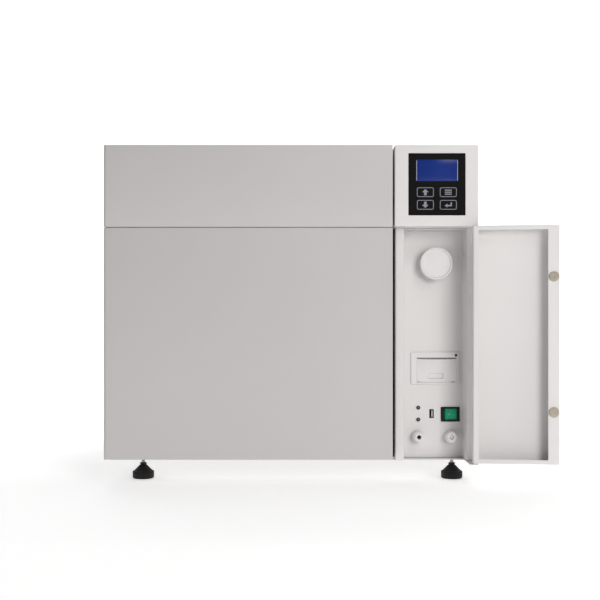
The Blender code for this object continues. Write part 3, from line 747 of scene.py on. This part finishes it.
def make_head():
    low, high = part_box("control_head")
    panel_low, panel_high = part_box("keypad_panel")
    outer = block(low, high)
    rims = [edge for edge in outer.edges if not all(vert.co.y > high.y - 1e-6 for vert in edge.verts)]
    soften(outer, rims, 0.0016, 4)
    inside = block((low.x + 0.002, low.y + 0.002, low.z + 0.002), (high.x - 0.002, high.y + 0.01, high.z - 0.002))
    window = block((panel_low.x - 0.0003, low.y - 0.01, panel_low.z - 0.0003),
                   (panel_high.x + 0.0003, low.y + 0.01, panel_high.z + 0.0003), 0.0009, 3, is_along_y)
    pivot_low, pivot_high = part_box("door_pivot_pin_upper")
    pivot = rod(PIN_HOLE, low.z + 0.01, low.z - 0.01,
                ((pivot_low.x + pivot_high.x) / 2, (pivot_low.y + pivot_high.y) / 2), 'Z')
    finish_piece("control_head_shell", carve(outer, inside, window, pivot), body_paint, BODY, ("control_head",))


def outline_ring(low, high, width, front, back, corner):
    """A thin flat frame between two depths."""
    outer = block((low[0], front, low[1]), (high[0], back, high[1]), corner, 4, is_along_y)
    inner = block((low[0] + width, front - 0.001, low[1] + width), (high[0] - width, back + 0.001, high[1] - width),
                  max(corner - width, 0.0002), 4, is_along_y)
    return carve(outer, inner)


def make_panel():
    low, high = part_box("keypad_panel")
    display_low, display_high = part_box("lcd_window")
    holes = [block((display_low.x - 0.0003, low.y - 0.01, display_low.z - 0.0003),
                   (display_high.x + 0.0003, high.y + 0.01, display_high.z + 0.0003))]
    for key in KEYS:
        key_low, key_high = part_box(key)
        holes.append(block((key_low.x - 0.0003, low.y - 0.01, key_low.z - 0.0003),
                           (key_high.x + 0.0003, high.y + 0.01, key_high.z + 0.0003), 0.0015, 4, is_along_y))
    sheet = block(low, high, 0.0008, 3, is_along_y)
    finish_piece("keypad_film_panel", carve(sheet, *holes), key_film, BODY, ("keypad_panel",))
    for name, side in (("left", display_low.x + 0.0004), ("right", display_high.x - 0.0013)):
        edge = block((side, display_low.y - 0.00012, display_low.z + 0.0012),
                     (side + 0.0009, display_low.y + 0.0002, display_high.z - 0.0012), 0.0004, 3, is_along_y)
        finish_piece(f"display_frame_{name}", edge, frame_glint, BODY)
    finish_piece("display_window", block(display_low, display_high, 0.0004, 2), display_glass(display_low,
                 display_high), BODY, ("lcd_window",))
    repaint("control_board", board_green)


def arrow(x, z, size, up, front, back):
    """A broad arrow with a short stem, pointing up or down."""
    sign = 1 if up else -1
    tip, wing, stem = 0.5 * size, 0.53 * size, 0.21 * size
    outline = [(0, tip), (wing, 0.0), (stem, 0.0), (stem, -0.5 * size), (-stem, -0.5 * size), (-stem, 0.0),
               (-wing, 0.0)]
    return flat_shape([(x + dx, z + sign * dz) for dx, dz in outline], front, back)


def flat_shape(outline, front, back):
    """A flat figure in the front view, pulled between two depths."""
    return prism([(x, back, z) for x, z in outline], (0, front - back, 0))


def enter_sign(x, z, size, front, back):
    """A bent return arrow: down at the right, then left to a point."""
    bar = 0.11 * size
    outline = [(-0.6, -0.12), (-0.12, 0.18), (-0.12, -0.12 + bar / size), (0.36, -0.12 + bar / size),
               (0.36, 0.4), (0.58, 0.4), (0.58, -0.12 - bar / size), (-0.12, -0.12 - bar / size), (-0.12, -0.42)]
    return flat_shape([(x + dx * size, z + dz * size) for dx, dz in outline], front, back)


def menu_sign(x, z, size, front, back):
    """Three short bars, the usual sign for a list."""
    return merge(*[block(*centred(x, z + level * size, size * 1.1, size * 0.17, front, back))
                   for level in (-0.32, 0.0, 0.32)])


KEYS = ("key_up", "key_menu", "key_down", "key_enter")


def make_keys():
    for key in KEYS:
        low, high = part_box(key)
        x, z = middle_of(key)
        cap = block(low, high, 0.0013, 4, is_along_y)
        finish_piece(f"{key}_cap", cap, key_film, key, (key,))
        front, back = low.y - 0.00008, low.y + 0.0002
        ring = outline_ring((low.x + 0.0008, low.z + 0.0006), (high.x - 0.0008, high.z - 0.0006), 0.001,
                            front, back, 0.0028)
        size = 0.0104
        sign = {"key_up": lambda: arrow(x, z, size, True, front, back),
                "key_down": lambda: arrow(x, z, size, False, front, back),
                "key_menu": lambda: menu_sign(x, z, size, front, back),
                "key_enter": lambda: enter_sign(x, z, size, front, back)}[key]()
        finish_piece(f"{key}_print", merge(ring, sign), grey_ink, key)


make_head()
make_panel()
make_keys()


# ---- Service compartment ------------------------------------------------------------------------

RECESS_LOW, RECESS_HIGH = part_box("service_recess")
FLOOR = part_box("printer_body")[0].y + 0.0035
STRIP = RECESS_LOW.y


def make_recess():
    """The bent sheet behind the service door: landing strip, floor and drafted right wall."""
    low, high = RECESS_LOW, RECESS_HIGH
    half = SHEET / 2
    left = low.x - 0.0008 + half
    plan = [(left, high.y - 0.022), (left, STRIP + half), (LEFT + 0.4978, STRIP + half),
            (LEFT + 0.502, FLOOR + half), (LEFT + 0.603, FLOOR + half), (LEFT + 0.6048, STRIP + half),
            (high.x - half, STRIP + half), (high.x - half, high.y - 0.0195)]
    path = eased(plan, 0.0022, 5)
    sheet = facing(sheet_along(path, low.z, high.z, 'Z'), (0, -1, 0))
    piece = shape_object("sheet", sheet)
    thicken(piece, SHEET, 0.0)
    bpy.context.view_layer.update()
    solid = bmesh.new()
    solid.from_object(piece, bpy.context.evaluated_depsgraph_get())
    bpy.data.objects.remove(piece)
    openings = [block(*centred(*middle_of("printer_body"), 0.0766, 0.0486, FLOOR - 0.01, FLOOR + 0.01)),
                block(*centred(*middle_of("usb_socket"), 0.0077, 0.0154, FLOOR - 0.01, FLOOR + 0.01), 0.0006, 3,
                      is_along_y),
                block(*centred(*middle_of("switch_frame"), 0.0286, 0.0226, FLOOR - 0.01, FLOOR + 0.01))]
    for node, radius in (("filter_socket", 0.0123), ("fill_coupler", 0.0073), ("drain_coupler", 0.0073),
                         ("indicator_upper", 0.0025), ("indicator_lower", 0.0025)):
        openings.append(rod(radius, FLOOR - 0.01, FLOOR + 0.01, middle_of(node)))
    finish_piece("service_recess_sheet", carve(solid, *openings), body_paint, BODY, ("service_recess",))
    roof = block((LEFT + 0.499, STRIP + 0.003, high.z - 0.0013), (LEFT + 0.604, FLOOR - 0.0003, high.z - 0.0001),
                 0.0004, 2)
    finish_piece("service_recess_roof", roof, body_paint, BODY)


GRIP_RIBS = 40


def make_filter():
    """A flat round air filter: raised rim, slightly sunk face, knurled side and a plain neck."""
    x, z = middle_of("air_filter")
    low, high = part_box("air_filter")
    radius, front = (high.x - low.x) / 2, low.y
    dome = arc((0, front + 0.003), radius * 0.83, -0.001)
    outline = dome + [(radius - 0.0036, front + 0.0028), (radius - 0.0031, front + 0.0006),
                      (radius - 0.0022, front), (radius - 0.0009, front + 0.0002), (radius, front + 0.0014),
                      (radius, front + 0.0062), (radius - 0.0009, front + 0.0068), (radius - 0.0009, front + 0.0078),
                      (radius, front + 0.0084), (radius, front + 0.0145), (radius - 0.0012, front + 0.016),
                      (0.018, front + 0.0185), (0.012, front + 0.019), (0.012, FLOOR - 0.0045),
                      (0.0056, FLOOR - 0.0045), (0.0056, high.y), (0, high.y)]
    finish_piece("air_filter_disc", lathe(outline, (x, z), 'Y', 128), white_plastic, "air_filter",
                 ("air_filter",))
    ribs = []
    for number in range(GRIP_RIBS):
        angle = ROUND_TURN * number / GRIP_RIBS
        rib = block((radius - 0.0006, front + 0.009, -0.0005), (radius + 0.00015, front + 0.0142, 0.0005), 0.0003, 1)
        ribs.append(set_down(rib, angle, (x, 0, z)))
    finish_piece("air_filter_grip_ribs", merge(*ribs), white_plastic, "air_filter")
    socket = [(0.006, FLOOR - 0.0043), (0.015, FLOOR - 0.0043), (0.016, FLOOR - 0.0033), (0.016, FLOOR - 0.0003),
              (0.012, FLOOR - 0.0003), (0.012, FLOOR + 0.02), (0.006, FLOOR + 0.02)]
    finish_piece("filter_port_collar", lathe(socket, (x, z), 'Y', 64, ring=True), white_plastic, BODY,
                 ("filter_socket",))


def make_printer():
    low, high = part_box("printer_body")
    flap_low, flap_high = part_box("printer_flap")
    x, z = middle_of("printer_body")
    clear = 0.0005
    bezel = block((low.x, low.y + 0.0009, low.z), (high.x, FLOOR - 0.0003, high.z))
    soften(bezel, [edge for edge in bezel.edges if is_along_y(edge)], 0.0022, 4)
    soften(bezel, [edge for edge in bezel.edges if all(vert.co.y < low.y + 0.001 for vert in edge.verts)], 0.0009, 4)
    case = block(*centred(x, z, 0.076, 0.048, FLOOR - 0.001, FLOOR + 0.05))
    bay = block((flap_low.x - clear, low.y - 0.01, flap_low.z - clear),
                (flap_high.x + clear, FLOOR + 0.043, flap_high.z + clear), 0.0008, 3, is_along_y)
    button_x, button_z = middle_of("printer_button")
    hole = rod(0.0022, low.y - 0.01, FLOOR + 0.005, (button_x, button_z))
    finish_piece("printer_bezel", carve(bezel, bay.copy(), hole.copy()), white_plastic, BODY, ("printer_body",))
    finish_piece("printer_case", carve(case, bay, hole), grey_plastic, BODY)
    face, exit_slot = low.y + 0.001, 0.0011
    plate = block((flap_low.x - 0.00035, face, flap_low.z - 0.0002),
                  (flap_high.x + 0.00035, flap_high.y, flap_high.z - exit_slot), 0.0003, 2)
    notches = [block((side - 0.0022, face - 0.01, flap_low.z - 0.001), (side + 0.0022, flap_high.y + 0.01,
                                                                       flap_low.z + 0.0009))
               for side in (flap_low.x + 0.0024, flap_high.x - 0.005)]
    catch_x, catch_z = (flap_low.x + flap_high.x) / 2 - 0.0012, flap_low.z + 0.0105
    cup = block(*centred(catch_x, catch_z, 0.0275, 0.0125, face + 0.001, face + 0.0036), 0.0008, 2)
    dip = block(*centred(catch_x, catch_z, 0.0255, 0.0105, face - 0.003, face + 0.0026), 0.0024, 5)
    finish_piece("printer_flap_plate", carve(plate, dip.copy(), *notches), white_plastic, "printer_flap",
                 ("printer_flap",))
    finish_piece("printer_flap_finger_cup", carve(cup, dip), white_plastic, "printer_flap")
    count, inset = 28, 0.005
    step = (flap_high.x - flap_low.x - 2 * inset) / (count - 1)
    teeth = [set_down(block((-0.0007, face - 0.0001, -0.0007), (0.0007, face + 0.0006, 0.0007)), math.pi / 4,
                      (flap_low.x + inset + number * step, 0, flap_high.z - exit_slot - 0.0011))
             for number in range(count)]
    finish_piece("printer_tear_teeth", merge(*teeth), level_steel, "printer_flap")
    cap_low, cap_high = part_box("printer_button")
    radius = 0.0019
    cap = lathe([(0, cap_low.y), (radius - 0.0005, cap_low.y + 0.0001), (radius, cap_low.y + 0.0006),
                 (radius, cap_high.y), (0, cap_high.y)], (button_x, button_z), 'Y', 32)
    finish_piece("feed_button_cap", cap, black_plastic, "feed_button", ("printer_button",))
    light = [(0.0024, low.y + 0.0004), (0.0034, low.y + 0.0004), (0.0037, low.y + 0.0008), (0.0037, low.y + 0.0014),
             (0.0024, low.y + 0.0014)]
    finish_piece("feed_button_ring", lathe(light, (button_x, button_z), 'Y', 48, ring=True), white_plastic, BODY)
    roll_low, roll_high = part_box("paper_roll")
    roll_y, roll_z = (roll_low.y + roll_high.y) / 2, (roll_low.z + roll_high.z) / 2
    big = (roll_high.z - roll_low.z) / 2
    ease, core = 0.0006, 0.0062
    roll = [(core, roll_low.x + ease), (core + ease, roll_low.x), (big - ease, roll_low.x), (big, roll_low.x + ease),
            (big, roll_high.x - ease), (big - ease, roll_high.x), (core + ease, roll_high.x),
            (core, roll_high.x - ease)]
    finish_piece("printer_paper", lathe(roll, (roll_y, roll_z), 'X', 96, ring=True), paper_white, "paper_roll",
                 ("paper_roll",))


def make_lamps():
    for node in ("indicator_upper", "indicator_lower"):
        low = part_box(node)[0]
        centre = middle_of(node)
        ring = [(0.0019, low.y), (0.0029, low.y), (0.0033, low.y + 0.0006), (0.0033, FLOOR - 0.0003),
                (0.0021, FLOOR - 0.0003), (0.0021, FLOOR + 0.006), (0.0017, FLOOR + 0.006)]
        lens = arc((0, low.y + 0.0012), 0.0016, -0.0007) + [(0.0016, FLOOR + 0.005), (0, FLOOR + 0.005)]
        finish_piece(f"{node}_bezel", lathe(ring, centre, 'Y', 40, ring=True), black_plastic, BODY, (node,))
        finish_piece(f"{node}_lens", lathe(lens, centre, 'Y', 32), grey_plastic, BODY)


def make_usb():
    low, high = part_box("usb_socket")
    # The socket's steel shell is coloured near black: painted dark reflection.
    repaint("usb_socket", reflection_dark_shell_steel)
    x, z = middle_of("usb_socket")
    tongue = block((x + 0.0002, low.y + 0.0012, low.z + 0.0016), (x + 0.0018, high.y - 0.0042, high.z - 0.0016),
                   0.0003, 2)
    finish_piece("usb_tongue", tongue, white_plastic, BODY)
    contacts = [block(*centred(x - 0.00005, z + (number - 1.5) * 0.0025, 0.0004, 0.0011, low.y + 0.0016,
                               high.y - 0.0045)) for number in range(4)]
    finish_piece("usb_contacts", merge(*contacts), machined_brass, BODY)
    # A near-black sheet at the back of the socket: painted shade, so that the socket's inside shows dark.
    liner = block((low.x + 0.0011, high.y - 0.0042, low.z + 0.0011),
                  (high.x - 0.0011, high.y - 0.0038, high.z - 0.0011))
    finish_piece("usb_back_shade", liner, shade_void, BODY)


ROCKER_REST = 7        # degrees from level, its right half pressed in


def make_switch():
    low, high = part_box("switch_frame")
    x, z = middle_of("switch_frame")
    opening = block(*centred(x, z, 0.0228, 0.0198, low.y - 0.01, FLOOR + 0.017), 0.0006, 2, is_along_y)
    rim = block(low, (high.x, FLOOR - 0.0003, high.z))
    soften(rim, [edge for edge in rim.edges if is_along_y(edge)], 0.0012, 4)
    soften(rim, [edge for edge in rim.edges if all(vert.co.y < low.y + 1e-6 for vert in edge.verts)], 0.001, 3)
    finish_piece("switch_bezel", carve(rim, opening.copy()), black_plastic, BODY, ("switch_frame",))
    case = block(*centred(x, z, 0.028, 0.022, FLOOR - 0.001, FLOOR + 0.025))
    finish_piece("switch_case", carve(case, opening), black_plastic, BODY)

    axis_y = FLOOR + 0.0088
    half, lift, depth = 0.0101, math.radians(9), 0.0065
    outline = [(-half, -0.0104), (0, -0.0104 + half * math.tan(lift)), (half, -0.0104),
               (half, depth), (-half, depth)]
    rocker = prism([(x + dx, axis_y + dy, z - 0.0092) for dx, dy in outline], (0, 0, 0.0184))
    soften(rocker, list(rocker.edges), 0.0005, 3)
    tilt = Matrix.Rotation(math.radians(ROCKER_REST), 3, 'Z')
    bmesh.ops.rotate(rocker, verts=rocker.verts, cent=(x, axis_y, z), matrix=tilt)
    finish_piece("rocker_lens", rocker, lit_green((x, axis_y, z)), "rocker", ("switch_rocker",))
    mark_depth = (axis_y - 0.0098, axis_y - 0.0086)
    dash = block(*centred(x - 0.0042, z, 0.0036, 0.0009, *mark_depth))
    bmesh.ops.rotate(dash, verts=dash.verts, cent=(x, axis_y, z), matrix=tilt)
    finish_piece("rocker_mark", dash, mark_ink, "rocker")


def make_couplers():
    for name, poppet in (("fill", False), ("drain", True)):
        low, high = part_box(f"{name}_coupler")
        centre = middle_of(f"{name}_coupler")
        front = low.y
        body = [(0.0064, front + 0.0004), (0.0069, front), (0.0086, front), (0.0094, front + 0.0005),
                (0.0098, front + 0.0016), (0.0098, front + 0.005), (0.0093, front + 0.0055),
                (0.0093, front + 0.0066), (0.0098, front + 0.0071), (0.0098, FLOOR - 0.009),
                (0.0103, FLOOR - 0.0084), (0.0106, FLOOR - 0.0078), (0.0106, FLOOR - 0.0003),
                (0.007, FLOOR - 0.0003), (0.007, high.y), (0.0045, high.y), (0.0045, FLOOR - 0.005),
                (0.0064, FLOOR - 0.005)]
        finish_piece(f"{name}_coupler_body", lathe(body, centre, 'Y', 72, ring=True), white_plastic, BODY,
                     (f"{name}_coupler",))
        collet_low, collet_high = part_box(f"{name}_coupler_collet")
        f = collet_low.y
        collet = [(0.0035, f + 0.0006), (0.0041, f), (0.007, f), (0.0076, f + 0.0004), (0.0076, f + 0.001),
                  (0.006, f + 0.0012), (0.006, collet_high.y), (0.0035, collet_high.y)]
        finish_piece(f"{name}_release_collet", lathe(collet, centre, 'Y', 64, ring=True), white_plastic,
                     f"{name}_collet", (f"{name}_coupler_collet",))
        # The drain's plug is its white valve poppet near the front; the fill's is a near-black disc deep in the
        # bore, painted shade.
        plug_face, plug_back = (f + 0.0016, FLOOR - 0.006) if poppet else (FLOOR + 0.008, FLOOR + 0.012)
        plug = [(0, plug_face), (0.002, plug_face + 0.0002), (0.003, plug_face + 0.0012), (0.003, plug_back),
                (0, plug_back)]
        finish_piece(f"{name}_poppet_or_shade_plug", lathe(plug, centre, 'Y', 32),
                     white_plastic if poppet else shade_void, BODY)


make_recess()
make_filter()
make_printer()
make_lamps()
make_usb()
make_switch()
make_couplers()


# ---- Service door -------------------------------------------------------------------------------

PIN_LOW, PIN_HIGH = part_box("door_pivot_pin_upper")
PIVOT = Vector(((PIN_LOW.x + PIN_HIGH.x) / 2, (PIN_LOW.y + PIN_HIGH.y) / 2, 0))
OPEN_ANGLE = 173       # degrees that the service door stands open at rest
REST_TURN = Matrix.Rotation(math.radians(OPEN_ANGLE), 3, 'Z')
TRAY_LOW = Vector((LEFT + 0.4804, FRONT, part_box("service_door")[0].z))
TRAY_HIGH = Vector((LEFT + 0.6179, FRONT + 0.0295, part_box("service_door")[1].z))


def swing_open(shape):
    """Turn a shape that is laid out for the shut service door to where the door stands open."""
    bmesh.ops.rotate(shape, verts=shape.verts, cent=PIVOT, matrix=REST_TURN)
    return shape


def make_service_door():
    """A folded steel tray: skin, four walls, and return lips, widest on the free edge."""
    low, high, t = TRAY_LOW, TRAY_HIGH, 0.0012
    outer = block(low, high)
    soften(outer, list(outer.edges), 0.0014, 4)
    inside = block((low.x + t, low.y + t, low.z + t), (high.x - t, high.y - t, high.z - t), 0.0006, 2)
    mouth = block((low.x + 0.018, low.y + 0.015, low.z + 0.0072), (high.x - 0.009, high.y + 0.01, high.z - 0.0072),
                  0.0012, 3, is_along_y)
    pins = [rod(PIN_HOLE, z + 0.003, z - 0.003, (PIVOT.x, PIVOT.y), 'Z') for z in (low.z, high.z)]
    door = carve(outer, inside, mouth, *pins)
    finish_piece("service_door_tray", swing_open(door), body_paint, "service_door", ("service_door",))
    for end in ("upper", "lower"):
        node = f"door_magnet_{end}"
        node_low, node_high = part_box(node)
        z = (node_low.z + node_high.z) / 2
        face, radius = high.y + 0.0025, 0.0082
        outline = [(0, face - 0.0004), (0.0016, face - 0.0004), (0.0021, face), (radius - 0.0012, face),
                   (radius, face - 0.001), (radius, high.y + 0.0003), (0, high.y + 0.0003)]
        button = lathe(list(reversed(outline)), (low.x + 0.009, z), 'Y', 64)
        finish_piece(f"catch_magnet_{end}", swing_open(button), magnet_plating, "service_door", (node,))
    for end in ("upper", "lower"):
        repaint(f"door_pivot_pin_{end}", long_steel)


# ---- Feet ---------------------------------------------------------------------------------------

def make_feet():
    """Levelling feet: a bell-shaped foot moulded round a threaded stud, with its locking nut."""
    for end in ("front", "rear"):
        for side in ("left", "right"):
            node = f"foot_{end}_{side}"
            low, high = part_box(node)
            x, y = (low.x + high.x) / 2, (low.y + high.y) / 2
            skirt = arc((0.0172, 0.0114), 0.0013, 0.0013, 91, 18)
            foot = [(0, 0.024), (0.0046, 0.024), (0.0064, 0.0228), (0.0088, 0.0205), (0.0112, 0.0178),
                    (0.0118, 0.017), (0.0128, 0.0166), (0.0134, 0.0158), (0.015, 0.0143), *skirt,
                    (0.0185, 0.003), (0.0181, 0.0015), (0.0172, 0.0005), (0.016, 0), (0, 0)]
            finish_piece(f"{node}_bell", lathe(foot, (x, y), 'Z', 72), foot_rubber, node, (node,))
            pitch, root, crest = 0.00125, 0.0028, 0.0033
            turns = int((high.z - 0.024) / pitch)
            stud = [(0, high.z), (root, high.z)]
            for turn in range(turns):
                top = high.z - turn * pitch
                stud += [(crest, top - 0.3 * pitch), (crest, top - 0.5 * pitch), (root, top - 0.95 * pitch)]
            stud += [(root, 0.0235), (0, 0.0235)]
            finish_piece(f"{node}_stud", lathe(stud, (x, y), 'Z', 24), upright_steel, node)
            nut = lathe([(0, 0.0272), (0.005, 0.0272), (0.0058, 0.0267), (0.0058, 0.0244), (0.005, 0.024),
                         (0, 0.024)], (x, y), 'Z', 6)
            finish_piece(f"{node}_nut", nut, black_plastic, node, (), 20)


# ---- Back and inside ----------------------------------------------------------------------------

def make_back():
    low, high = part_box("rear_panel")
    repaint("rear_panel", side_paint)
    repaint("base_plate", side_paint)
    face = high.y
    spots = [(x, z) for x in (low.x + 0.012, (low.x + high.x) / 2, high.x - 0.012)
             for z in (low.z + 0.012, high.z - 0.012)]
    spots += [(low.x + 0.012, (low.z + high.z) / 2), (high.x - 0.012, (low.z + high.z) / 2)]
    finish_piece("rear_panel_screws", pan_screws(spots, face + 0.0004, 0.0036, 1), level_steel, BODY)
    x, z = middle_of("fan_frame")
    wires, wire = [], 0.0011
    for radius in (0.018, 0.029, 0.04, 0.051):
        ring = [(radius + wire * math.cos(math.radians(angle)), face + 0.0016 - wire * math.sin(math.radians(angle)))
                for angle in range(0, 360, 45)]
        wires.append(lathe(ring, (x, z), 'Y', 64, ring=True))
    for angle in (45, 135):
        bar = block((-0.062, face + 0.0024, -0.0011), (0.062, face + 0.0042, 0.0011), 0.0006, 2)
        wires.append(set_down(bar, math.radians(angle), (x, 0, z)))
    finish_piece("fan_guard", merge(*wires), level_steel, BODY)
    repaint("fan_frame", black_plastic)
    repaint("fan_rotor", black_plastic)
    repaint("power_inlet", black_plastic)
    x, z = middle_of("power_inlet")
    pins = [block(*centred(x + dx, z + dz, 0.002, 0.0042, face - 0.016, face + 0.0005), 0.0004, 2)
            for dx, dz in ((-0.007, -0.0015), (0.0, 0.0025), (0.007, -0.0015))]
    finish_piece("inlet_pins", merge(*pins), machined_brass, BODY)
    finish_piece("inlet_screws", pan_screws([(x + dx, z) for dx in (-0.0215, 0.0215)], face + 0.0054, 0.0026, 1),
                 level_steel, BODY)
    repaint("safety_valve", machined_brass)
    ribs = []
    for row in range(6):
        z = low.z + 0.2626 + 0.018 * row
        ribs.append(block((LEFT + 0.078, face + 0.0001, z + 0.0064), (LEFT + 0.302, face + 0.0022, z + 0.0086),
                          0.0008, 3))
    finish_piece("rear_vent_lips", merge(*ribs), side_paint, BODY)


def make_inside():
    chamber_low, chamber_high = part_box("pressure_chamber")
    front, back = chamber_low.y, chamber_high.y
    outer, inner = (chamber_high.x - chamber_low.x) / 2, 0.15
    outline = [(0, back - 0.002), (0.045, back - 0.0035), (0.09, back - 0.0098), (0.125, back - 0.019),
               (0.144, back - 0.027), (inner, back - 0.034), (inner, front + 0.003), (inner + 0.0012, front),
               (outer - 0.002, front), (outer, front + 0.002), (outer, front + 0.012),
               (inner + 0.002, front + 0.012), (inner + 0.002, back - 0.031), (0.091, back - 0.008), (0, back)]
    finish_piece("chamber_vessel", lathe(outline, (CHAMBER_X, CHAMBER_Z), 'Y', 128), chamber_steel, BODY,
                 ("pressure_chamber",))
    low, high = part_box("insulation_jacket")
    radius = (high.x - low.x) / 2
    pads = [(0.1526, low.y)]
    count = 8
    for number in range(count):
        start = low.y + (high.y - low.y) * number / count
        width = (high.y - low.y) / count
        pads += [(radius - 0.0035, start + 0.0004), (radius, start + width * 0.25), (radius, start + width * 0.75),
                 (radius - 0.0035, start + width - 0.0004)]
    pads.append((0.1526, high.y))
    finish_piece("quilted_jacket", lathe(pads, (CHAMBER_X, CHAMBER_Z), 'Y', 96, ring=True), lagging_cloth, BODY,
                 ("insulation_jacket",))
    for level in ("upper", "middle", "lower"):
        node = f"tray_{level}"
        low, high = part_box(node)
        sheet = block(low, high)
        soften(sheet, [edge for edge in sheet.edges if not all(vert.co.z > high.z - 1e-6 for vert in edge.verts)],
               0.0035, 4)
        hollow = block((low.x + 0.0015, low.y + 0.0015, low.z + 0.0015), (high.x - 0.0015, high.y - 0.0015,
                                                                         high.z + 0.01))
        soften(hollow, [edge for edge in hollow.edges if not all(vert.co.z > high.z for vert in edge.verts)],
               0.0025, 3)
        margin, pitch = 0.025, 0.03
        holes = [rod(0.003, low.z + 0.005, low.z - 0.005,
                     (low.x + margin + column * pitch, low.y + 0.03 + row * pitch), 'Z', 12)
                 for column in range(6) for row in range(11)]
        finish_piece(f"{node}_pan", carve(sheet, hollow, merge(*holes)), level_steel, BODY, (node,))
    for node in ("tray_rack", "chamber_cradle", "hinge_bracket_upper", "hinge_bracket_lower", "door_lock_bolt"):
        repaint(node, long_steel)
    repaint("steam_generator", upright_steel)
    repaint("lock_solenoid", grey_plastic)
    repaint("vacuum_pump", grey_plastic)
    repaint("water_tank", white_plastic)
    repaint("power_board", board_green)


chamber_steel = turned_steel("chamber_steel", (0.6, 0.6, 0.61), (CHAMBER_X, 0, CHAMBER_Z), (1, 0, 1), 0.22)
make_service_door()
make_feet()
make_back()
make_inside()


# ---- Floor, light and camera --------------------------------------------------------------------

def stage_paper():
    """White studio paper, lit a little from behind."""
    paper = Finish("stage_paper", Emission_Color=(1, 1, 1, 1), Emission_Strength=0.42)
    fibre = paper.noise(40.0, 3.0)
    paper.colour(paper.blend(fibre, (0.93, 0.93, 0.93, 1), (0.95, 0.95, 0.95, 1)))
    paper.roughness(0.8 + fibre * 0.05)
    return paper.material


def make_stage():
    """A pale floor that curves up into a wall behind."""
    near, far, rise, bend, half, level = -4.0, 3.2, 5.0, 1.2, 6.0, -0.0002
    path = eased([(near, level), (far, level), (far, rise)], bend, 24)
    shape = facing(pulled_strip([(-half, y, z) for y, z in path], (2 * half, 0, 0)), (0, 0, 1))
    floor = shape_object("studio_floor", shape)
    floor.data.materials.append(stage_paper())
    floor.data.shade_smooth()


def soft_light(name, place, aim, width, height, power, colour=(1, 1, 1)):
    data = bpy.data.lights.new(name, 'AREA')
    data.shape = 'RECTANGLE'
    data.size, data.size_y = width, height
    data.energy = power
    data.color = colour
    lamp = bpy.data.objects.new(name, data)
    bpy.context.scene.collection.objects.link(lamp)
    lamp.location = place
    lamp.rotation_euler = (Vector(aim) - Vector(place)).to_track_quat('-Z', 'Y').to_euler()
    return lamp


def make_light():
    """Soft light from the right at the height of the panel, a weaker one from above, and a bright sweep."""
    world = bpy.data.worlds.new("studio_air")
    bpy.context.scene.world = world
    world.use_nodes = True
    tree = world.node_tree
    dim, output = tree.nodes["Background"], tree.nodes["World Output"]
    dim.inputs["Color"].default_value = (1, 1, 1, 1)
    dim.inputs["Strength"].default_value = 0.12
    white = tree.nodes.new("ShaderNodeBackground")
    white.inputs["Strength"].default_value = 1.0
    white.inputs["Color"].default_value = (1, 1, 1, 1)
    seen, choice = tree.nodes.new("ShaderNodeLightPath"), tree.nodes.new("ShaderNodeMixShader")
    for source, target in ((seen.outputs["Is Camera Ray"], choice.inputs[0]), (dim.outputs[0], choice.inputs[1]),
                           (white.outputs[0], choice.inputs[2]), (choice.outputs[0], output.inputs["Surface"])):
        tree.links.new(source, target)
    aim = (0.0, 0.0, 0.28)
    key = soft_light("key_softbox", (0.95, -2.9, 0.72), (0.1, -0.35, 0.28), 0.9, 0.9, 31, (1.0, 0.985, 0.98))
    key.visible_glossy = False
    soft_light("high_softbox", (1.1, -2.5, 2.1), aim, 0.9, 0.9, 12, (1.0, 0.99, 0.985))
    soft_light("top_softbox", (0.2, 0.2, 2.6), aim, 2.0, 2.0, 16)
    soft_light("wall_light", (0.0, 1.2, 2.6), (0.0, 3.2, 0.8), 3.0, 0.8, 50)
    bpy.context.scene.view_settings.view_transform = 'Standard'


def make_camera():
    distance, height, sensor = 1.7, 0.273, 36.0
    seen_width = 0.9875
    data = bpy.data.cameras.new("front_camera")
    data.sensor_width = sensor
    data.lens = sensor * distance / seen_width
    data.shift_y = 1 / 30
    data.clip_start, data.clip_end = 0.05, 30
    camera = bpy.data.objects.new("front_camera", data)
    bpy.context.scene.collection.objects.link(camera)
    camera.location = (LEFT + 0.3238, FRONT - distance, height)
    camera.rotation_euler = (math.pi / 2, 0, 0)
    bpy.context.scene.camera = camera


make_stage()
make_light()
make_camera()
